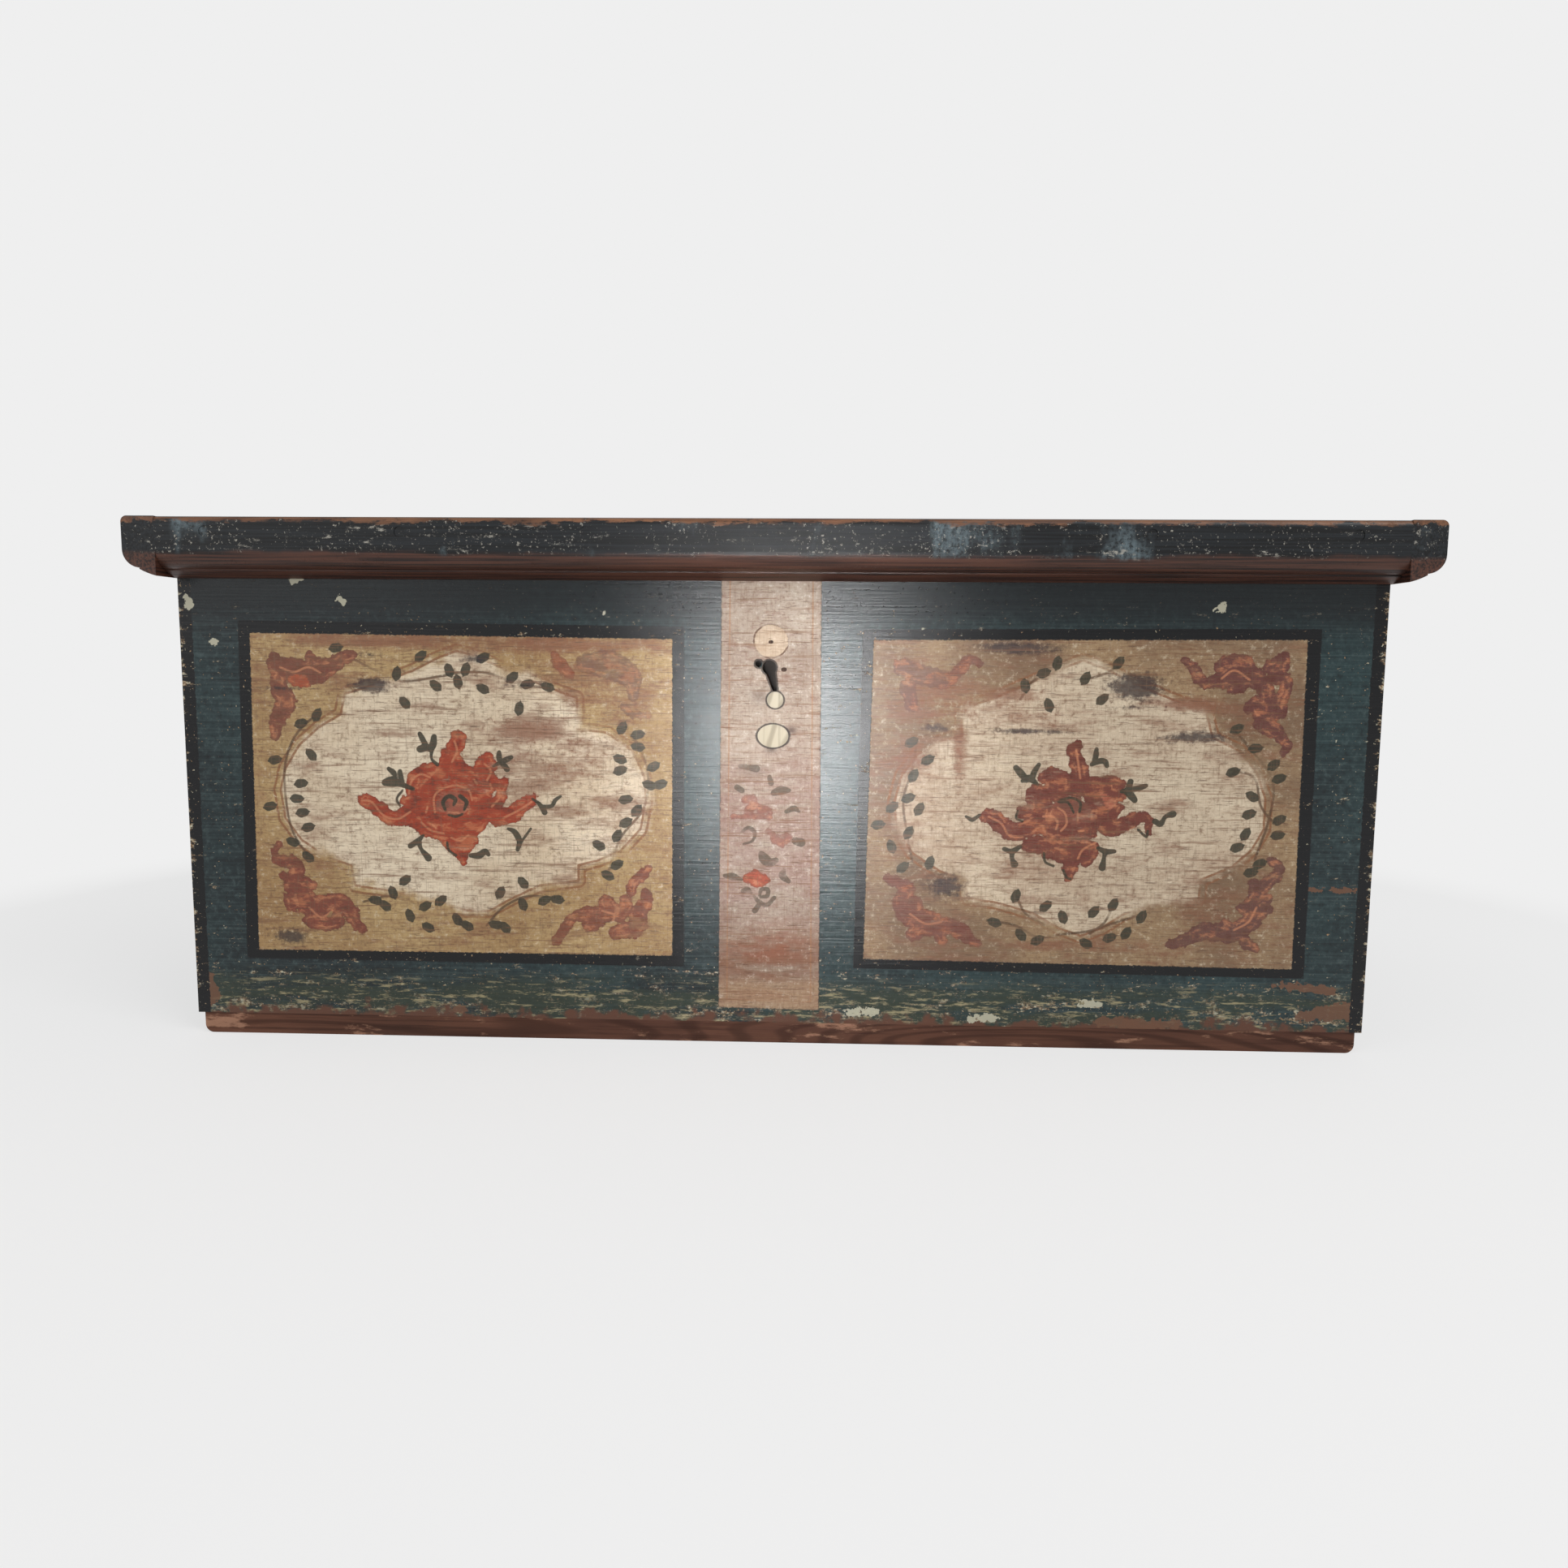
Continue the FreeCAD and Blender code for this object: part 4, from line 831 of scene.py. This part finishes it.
def panel_look(name, tones):
    """Ochre with a cream cartouche, scrolls, leaves, stains and grain."""
    look = Look(name)
    cartouche, rust = look.field("cartouche"), look.field("rust")
    wobble = look.swing(150, BRUSH_WOBBLE)
    ragged = look.swing(420, BRUSH_RAGGED, shift=(2, 0, 3))
    blotch = look.noise(10, 5, shift=(1, 2, 3))
    cloud = look.noise(30, 6, 0.68, stretch=(0.6, 1, 2), shift=(4, 1, 2))
    mottle = look.noise(190, 7, 0.72, shift=(7, 0, 5))
    smear = look.noise(46, 7, 0.72, stretch=(0.5, 1, 2.2), shift=(3, 6, 2))
    kept = look.noise(16, 4, shift=(9, 0, 2)).step(0.36, 0.56)
    paint = look.mix(blotch.step(0.32, 0.68), tones["ochre_deep"], tones["ochre"])
    cream = look.mix(blotch.step(0.3, 0.66), tones["cream_deep"], tones["cream"])
    faded = cartouche + look.swing(40, CARTOUCHE_FADE, shift=(0, 3, 7))
    paint.lay(cream, faded.step(-OUTLINE_GAP, OUTLINE_GAP))
    middles = (0, -OUTLINE_GAP, OUTLINE_LIGHT)
    line = cartouche + wobble * 0.5
    inner, outer, light = (line.band(middle, OUTLINE_HALF, OUTLINE_HALF) for middle in middles)
    paint.lay(srgb(132, 82, 48), inner.most(outer) * kept * 0.8)
    paint.lay(srgb(232, 216, 188), light * kept * 0.3)
    paint.lay(srgb(76, 56, 38), look.field("stem").step(-BRUSH_SOFT, BRUSH_SOFT) * kept * 0.85)
    paint.lay(srgb(112, 80, 56), mottle.step(0.5, 0.7) * 0.65)
    paint.lay(srgb(230, 216, 190), mottle.step(0.47, 0.3) * 0.45)
    paint.lay(srgb(118, 82, 58), smear.step(0.52, 0.68) * 0.4)
    torn = mottle * 1.2 + smear
    paint.lay(srgb(126, 82, 60), (cloud + rust * 0.34).step(0.5, 0.72) * 0.65)
    paint.lay(srgb(132, 84, 62), (rust + torn).step(1.25, 1.85) * 0.55)
    red, laid = red_paint(look, wobble)
    red.lay(srgb(204, 136, 98), look.field("swirl").step(-BRUSH_SOFT, BRUSH_SOFT) * 0.6)
    paint.lay(red, laid * cloud.step(0.74, 0.56))
    green, leaf = leaf_paint(look, wobble)
    paint.lay(green, leaf * cloud.step(0.8, 0.6) * 0.95)
    paint.lay(srgb(50, 42, 45), (look.field("soot") + torn).step(1.3, 1.75) * 0.85)
    height = grain_lines(look, paint, 0.72)
    paint.lay(BLACK_PAINT, (look.field("rim") + ragged).step(2 * BRUSH_SOFT, 0))
    return look.finish(paint, height * 0.08 + 0.2, height, PAINT_RELIEF, specular=0.36)


# Heights on the strip, as shares of the front's height.
STRIP_PINK_SHARE, STRIP_PINK_HALF_SHARE = 0.4, 0.17
STRIP_BROWN_SHARES, STRIP_OCHRE_SHARES = (0.22, 0.16), (0.11, 0.07)


def strip_look():
    """Cream with pink and brown wear, thin edge lines, faded roses and the marks of an older lock."""
    look = Look("strip_paint")
    rim = look.field("rim")
    wobble = look.swing(150, BRUSH_WOBBLE)
    ragged = look.swing(330, BRUSH_RAGGED, shift=(2, 0, 3))
    blotch = look.noise(13, 5, shift=(1, 2, 3))
    cloud = look.noise(34, 6, 0.68, stretch=(0.6, 1, 2), shift=(4, 1, 2))
    mottle = look.noise(190, 7, 0.72, shift=(7, 0, 5))
    smear = look.noise(46, 8, 0.74, stretch=(0.6, 1, 1.9), shift=(3, 6, 2))
    height_share = (look.z - front_foot) * (1 / (front_head - front_foot))
    paint = look.mix(blotch.step(0.32, 0.68), srgb(148, 130, 116), srgb(172, 157, 142))
    pink = height_share.band(STRIP_PINK_SHARE, STRIP_PINK_HALF_SHARE / 2, STRIP_PINK_HALF_SHARE)
    paint.lay(srgb(150, 122, 114), pink * cloud.step(0.3, 0.62) * 0.7)
    paint.lay(srgb(122, 84, 64), height_share.step(*STRIP_BROWN_SHARES) * cloud.step(0.3, 0.56) * 0.75)
    paint.lay(srgb(172, 146, 118), height_share.step(*STRIP_OCHRE_SHARES) * 0.7)
    paint.lay(srgb(118, 90, 76), mottle.step(0.5, 0.7) * 0.55)
    paint.lay(srgb(222, 210, 194), mottle.step(0.47, 0.3) * 0.45)
    paint.lay(srgb(126, 92, 80), smear.step(0.5, 0.66) * 0.55)
    paint.lay(srgb(142, 84, 62), look.field("rust") * cloud.step(0.35, 0.6) * 0.7)
    line = rim.band(STRIP_LINE, OUTLINE_HALF / 2, OUTLINE_HALF)
    paint.lay(srgb(158, 112, 78), line * blotch.step(0.3, 0.5) * 0.5)
    red, laid = red_paint(look, wobble)
    paint.lay(red, laid * cloud.step(0.72, 0.5))
    green, leaf = leaf_paint(look, wobble)
    paint.lay(green, leaf * cloud.step(0.76, 0.46) * 0.7)
    rosette = look.field("rosette") + wobble * 0.8
    paint.lay(srgb(208, 182, 150), rosette.step(0, BRUSH_SOFT) * 0.4)
    paint.lay(srgb(104, 82, 68), rosette.band(0, BRUSH_SOFT, BRUSH_SOFT) * cloud.step(0.4, 0.55))
    paint.lay(srgb(52, 34, 26), look.field("nail_hole").step(0, BRUSH_SOFT))
    paint.lay(srgb(74, 60, 54), look.field("soot"))
    height = grain_lines(look, paint, 0.7)
    paint.lay(srgb(120, 88, 66), flecks(look, 0)[0] * 0.6)
    ring = look.field("hole") + wobble * 0.6
    paint.lay(srgb(40, 34, 32), ring.step(-HOLE_RING, -HOLE_RING / 2) * 0.85)
    paint.lay(TEAL_DEEP, (rim + ragged).step(2 * BRUSH_SOFT, 0) * 0.8)
    return look.finish(paint, height * 0.08 + 0.2, height, PAINT_RELIEF, specular=0.1)


RING_TURNS, LATE_WOOD_SHARE = 230, 0.45


def wood_colour(look, axis, dark, pale):
    """Aged softwood with growth rings and fibres along one axis. Gives its colour and a height."""
    fibres = look.noise(1, 6, 0.65, stretch=grain_stretch(axis, 260))
    broad = look.noise(1, 4, 0.5, stretch=grain_stretch(axis, 26), shift=(2, 5, 1))
    flow = look.noise(1, 2.5, 0.4, stretch=grain_stretch(axis, 7.0, 0.8), shift=(4, 2, 6))
    stain = look.noise(5, 5, shift=(7, 1, 4))
    rings = look.math("SINE", flow * RING_TURNS).step(-0.2, 1)
    late = tuple(level * LATE_WOOD_SHARE for level in dark[:3]) + (1.0,)
    wood = look.mix(broad.step(0.1, 0.9), dark, pale)
    wood.lay(late, rings * 0.5)
    wood.lay(late, fibres.step(0.48, 0.68) * 0.6)
    wood.lay(srgb(60, 46, 38), stain.step(0.5, 0.8) * 0.35)
    return wood, fibres + rings * 0.4


def bare_look(name, axis):
    look = Look(name)
    wood, lines = wood_colour(look, axis, *PINE_TONES)
    return look.finish(wood, lines * 0.2 + 0.62, lines, WOOD_RELIEF)


def wall_look(name, axis):
    """Teal on the front and the ends of the walls, bare wood elsewhere."""
    look = Look(name)
    wood, lines = wood_colour(look, axis, *PINE_TONES)
    paint, height = teal_ground(look, look.z.step(front_foot + FOOT_WEAR, front_foot) * 0.1)
    end = abs(look.x).step(carcass_half - PAINT_SKIN, carcass_half - PAINT_SKIN / 2)
    painted = end.most(look.y.step(front_face + PAINT_SKIN, front_face + PAINT_SKIN / 2))
    wood.lay(paint, painted)
    return look.finish(wood, lines * 0.25 + 0.46, lines + height * painted, WOOD_RELIEF)


def rubbed_paint(look, axis):
    """The lid's top: dark paint, worn through to brown wood in places. Gives its colour and a height."""
    wood = wood_colour(look, axis, srgb(92, 62, 44), srgb(126, 90, 64))[0]
    rubbed = look.noise(16, 9, 0.74, stretch=(0.5, 1, 1))
    paint, height = teal_ground(look, 0.04)
    paint.lay(BLACK_PAINT, 0.5)
    paint.lay(wood, rubbed.step(0.53, 0.62) * 0.9)
    return paint, height


# Heights on the lid's moulding, down from its top.
WORN_EDGE, FASCIA_HEIGHT = 6 * MM, 33 * MM


def moulding_look(name, axis):
    """Flaking blue-black paint, a brown worn top edge and red-brown worn mouldings below the fascia."""
    look = Look(name)
    flake = look.noise(60, 9, 0.76, stretch=grain_stretch(axis, 1.3, 0.4))
    chip = look.noise(240, 4, 0.65)
    scratch = look.noise(1, 6, 0.62, stretch=grain_stretch(axis, 420))
    patch = look.noise(13, 5, 0.6, stretch=grain_stretch(axis, 0.4, 1.0), shift=(3, 3, 3))
    cluster = look.noise(17, 4, 0.6, shift=(5, 2, 1))
    speck = look.noise(330, 4, 0.7, shift=(1, 4, 2)) + cluster * 0.3
    paint = look.mix(scratch.step(0.4, 0.62), srgb(8, 9, 11), srgb(27, 31, 35))
    paint.lay(srgb(112, 128, 134), patch.step(0.57, 0.7) * chip.step(0.3, 0.6) * 0.7)
    worn = (flake.step(0.575, 0.63) * chip.step(0.44, 0.54)).most(speck.step(0.77, 0.82))
    paint.lay(look.mix(chip, srgb(112, 102, 90), srgb(190, 188, 178)), worn * 0.85)
    wood = wood_colour(look, axis, srgb(96, 62, 44), srgb(140, 98, 70))[0]
    top = look.z + (flake - 0.5) * FASCIA_HEIGHT
    paint.lay(wood, top.step(lid_top - WORN_EDGE, lid_top - WORN_EDGE / 2))
    bead = look.mix(scratch.step(0.36, 0.6), srgb(36, 24, 21), srgb(84, 52, 40))
    foot = look.z + (patch - 0.5) * (FASCIA_HEIGHT / 2)
    paint.lay(bead, foot.step(lid_top - FASCIA_HEIGHT, lid_top - FASCIA_HEIGHT - WORN_EDGE))
    above = look.z.step(lid_top - PAINT_SKIN / 2, lid_top - PAINT_SKIN / 4)
    paint.lay(rubbed_paint(look, axis)[0], above)
    return look.finish(paint, flake * 0.3 + 0.26, scratch * 0.5 - worn * 0.6, WOOD_RELIEF, specular=0.34)


def lid_look():
    """Rubbed paint on top, bare wood below."""
    look = Look("lid_planks")
    wood, lines = wood_colour(look, 0, *PINE_TONES)
    paint, height = rubbed_paint(look, 0)
    above = look.z.step(lid_top - PAINT_SKIN, lid_top - PAINT_SKIN / 2)
    wood.lay(paint, above)
    return look.finish(wood, lines * 0.25 + 0.5, lines + height * above, WOOD_RELIEF)


def foot_look():
    """The front bottom board: brown bare wood with pinkish worn patches along its front edge."""
    look = Look("bottom_front")
    wood, lines = wood_colour(look, 0, srgb(70, 44, 36), srgb(106, 70, 54))
    worn = look.noise(20, 8, 0.72, stretch=(0.5, 1, 2), shift=(1, 0, 2))
    edge = look.y.step(front_face + SIDE_WEAR, front_face + SIDE_WEAR / 2)
    wood.lay(srgb(170, 128, 104), worn.step(0.56, 0.64) * edge * 0.75)
    return look.finish(wood, lines * 0.2 + 0.6, lines, WOOD_RELIEF)


def iron_look(name, rust_share):
    look = Look(name)
    rust = look.noise(60, 6, 0.7)
    iron = look.mix(rust.step(0.62 - rust_share, 0.8 - rust_share), srgb(52, 48, 46), srgb(92, 56, 38))
    return look.finish(iron, rust * 0.35 + 0.42, look.noise(150), PAINT_RELIEF, metallic=0.75)


def plug_look():
    look = Look("plug_wood")
    wood, lines = wood_colour(look, 2, srgb(168, 156, 134), srgb(194, 184, 164))
    return look.finish(wood, lines * 0.2 + 0.4, lines, PAINT_RELIEF)


def dress(names, material):
    for name in names:
        slots = frame["nodes"][name].data.materials
        slots.clear()
        slots.append(material)


LEFT_TONES = {
    "ochre": srgb(180, 152, 106), "ochre_deep": srgb(156, 124, 82),
    "cream": srgb(224, 208, 182), "cream_deep": srgb(204, 184, 156),
}
RIGHT_TONES = {
    "ochre": srgb(154, 128, 96), "ochre_deep": srgb(120, 96, 74),
    "cream": srgb(204, 187, 162), "cream_deep": srgb(182, 160, 136),
}

ground_skin()
panel_skin("left", LEFT_TONES)
panel_skin("right", RIGHT_TONES)
strip_skin()
dress(["front_board", "back_board"], wall_look("long_walls", 0))
dress(["left_side_board", "right_side_board"], wall_look("side_walls", 1))
dress(["bottom_plank_middle", "bottom_plank_rear"], bare_look("bare_pine", 0))
dress(["bottom_plank_front"], foot_look())
dress(["lid_plank_front", "lid_plank_rear"], lid_look())
dress(["old_lock_plug_round", "old_lock_plug_oval"], plug_look())
nail_nodes = [name for name in frame["nodes"] if name.endswith("nails")]
iron_nodes = [name for name in frame["nodes"] if name.startswith(("hinge_", "lock_"))]
dress([name for name in iron_nodes if name not in nail_nodes], iron_look("wrought_iron", 0.0))
dress(nail_nodes, iron_look("nail_iron", 0.15))
# The nails in the mouldings are painted over with them.
dress(["lid_front_moulding", "front_moulding_nails"], moulding_look("front_moulding", 0))
cleat_nodes = ["lid_left_cleat", "lid_right_cleat", "left_cleat_nails", "right_cleat_nails"]
dress(cleat_nodes, moulding_look("end_moulding", 1))

# Studio: a pale floor that runs on into a background of the same tone.
PALE = srgb(239, 239, 239)
FLOOR_HALF = 30.0
FLOOR_FADE = (0.8, 1.5)
FLOOR_GLOW_SHARE = 0.72


def floor():
    corners = [(-1, -1, 0), (1, -1, 0), (1, 1, 0), (-1, 1, 0)]
    mesh = bpy.data.meshes.new("floor")
    mesh.from_pydata([Vector(corner) * FLOOR_HALF for corner in corners], [], [(0, 1, 2, 3)])
    made = bpy.data.objects.new("floor", mesh)
    bpy.context.collection.objects.link(made)
    look = Look("floor")
    look.shade(Base_Color=srgb(250, 250, 250), Roughness=0.9, Specular_IOR_Level=0.0)
    glow = look.node("ShaderNodeEmission", Color=PALE)
    away = look.math("SQRT", look.x * look.x + look.y * look.y)
    rays = look.node("ShaderNodeLightPath").outputs
    seen = Level(look, rays["Is Camera Ray"])
    for kind in ("Is Glossy Ray", "Is Transmission Ray"):
        seen = seen.most(rays[kind])
    share = away.step(*FLOOR_FADE).most(FLOOR_GLOW_SHARE)
    join = look.node("ShaderNodeMixShader", Fac=share * seen)
    look.feed(join.inputs[1], look.shader.outputs[0])
    look.feed(join.inputs[2], glow.outputs[0])
    look.feed(look.tree.nodes["Material Output"].inputs["Surface"], join.outputs[0])
    mesh.materials.append(look.material)


def lamp(name, place, target, size, power, spread=180):
    light = bpy.data.lights.new(name, "AREA")
    light.shape = "RECTANGLE"
    light.size, light.size_y = size
    light.energy = power
    light.spread = math.radians(spread)
    made = bpy.data.objects.new(name, light)
    made.location = place
    made.rotation_euler = (Vector(target) - Vector(place)).to_track_quat("-Z", "Y").to_euler()
    bpy.context.collection.objects.link(made)


def world(light_level):
    """Even light on the object; the camera sees the floor's pale tone behind it."""
    made = bpy.data.worlds.new("studio")
    bpy.context.scene.world = made
    made.use_nodes = True
    tree = made.node_tree
    light = tree.nodes["Background"]
    light.inputs["Color"].default_value = (1, 1, 1, 1)
    light.inputs["Strength"].default_value = light_level
    shown = tree.nodes.new("ShaderNodeBackground")
    shown.inputs["Color"].default_value = PALE
    join = tree.nodes.new("ShaderNodeMixShader")
    rays = tree.nodes.new("ShaderNodeLightPath")
    tree.links.new(rays.outputs["Is Camera Ray"], join.inputs[0])
    tree.links.new(light.outputs[0], join.inputs[1])
    tree.links.new(shown.outputs[0], join.inputs[2])
    tree.links.new(join.outputs[0], tree.nodes["World Output"].inputs["Surface"])


def camera():
    lens = bpy.data.cameras.new("camera")
    lens.sensor_width = SENSOR_WIDTH
    lens.lens = FOCAL_PIXELS / PICTURE_PIXELS * SENSOR_WIDTH
    made = bpy.data.objects.new("camera", lens)
    turn = Matrix((camera_right, -camera_down, -camera_ahead)).transposed()
    made.matrix_world = Matrix.Translation(camera_place) @ turn.to_4x4()
    bpy.context.collection.objects.link(made)
    bpy.context.scene.camera = made


KEY_PLACE, KEY_SIZE, KEY_POWER = (1.7, -2.0, 2.6), (1.8, 1.8), 42
FILL_PLACE, FILL_SIZE, FILL_POWER = (-1.8, -2.4, 1.5), (2.0, 2.0), 13
GLARE_PLACE, GLARE_SIZE, GLARE_POWER, GLARE_SPREAD = (-0.02, -1.56, 0.25), (0.2, 0.4), 0.38, 24
GLARE_TARGET = (0.02, front_face, 0.33)
WORLD_LEVEL = 0.55
chest_middle = (0, front_face, (front_foot + front_head) / 2)

floor()
world(WORLD_LEVEL)
lamp("key", KEY_PLACE, chest_middle, KEY_SIZE, KEY_POWER)
lamp("fill", FILL_PLACE, chest_middle, FILL_SIZE, FILL_POWER)
lamp("glare", GLARE_PLACE, GLARE_TARGET, GLARE_SIZE, GLARE_POWER, GLARE_SPREAD)
camera()
bpy.context.scene.view_settings.view_transform = "Standard"
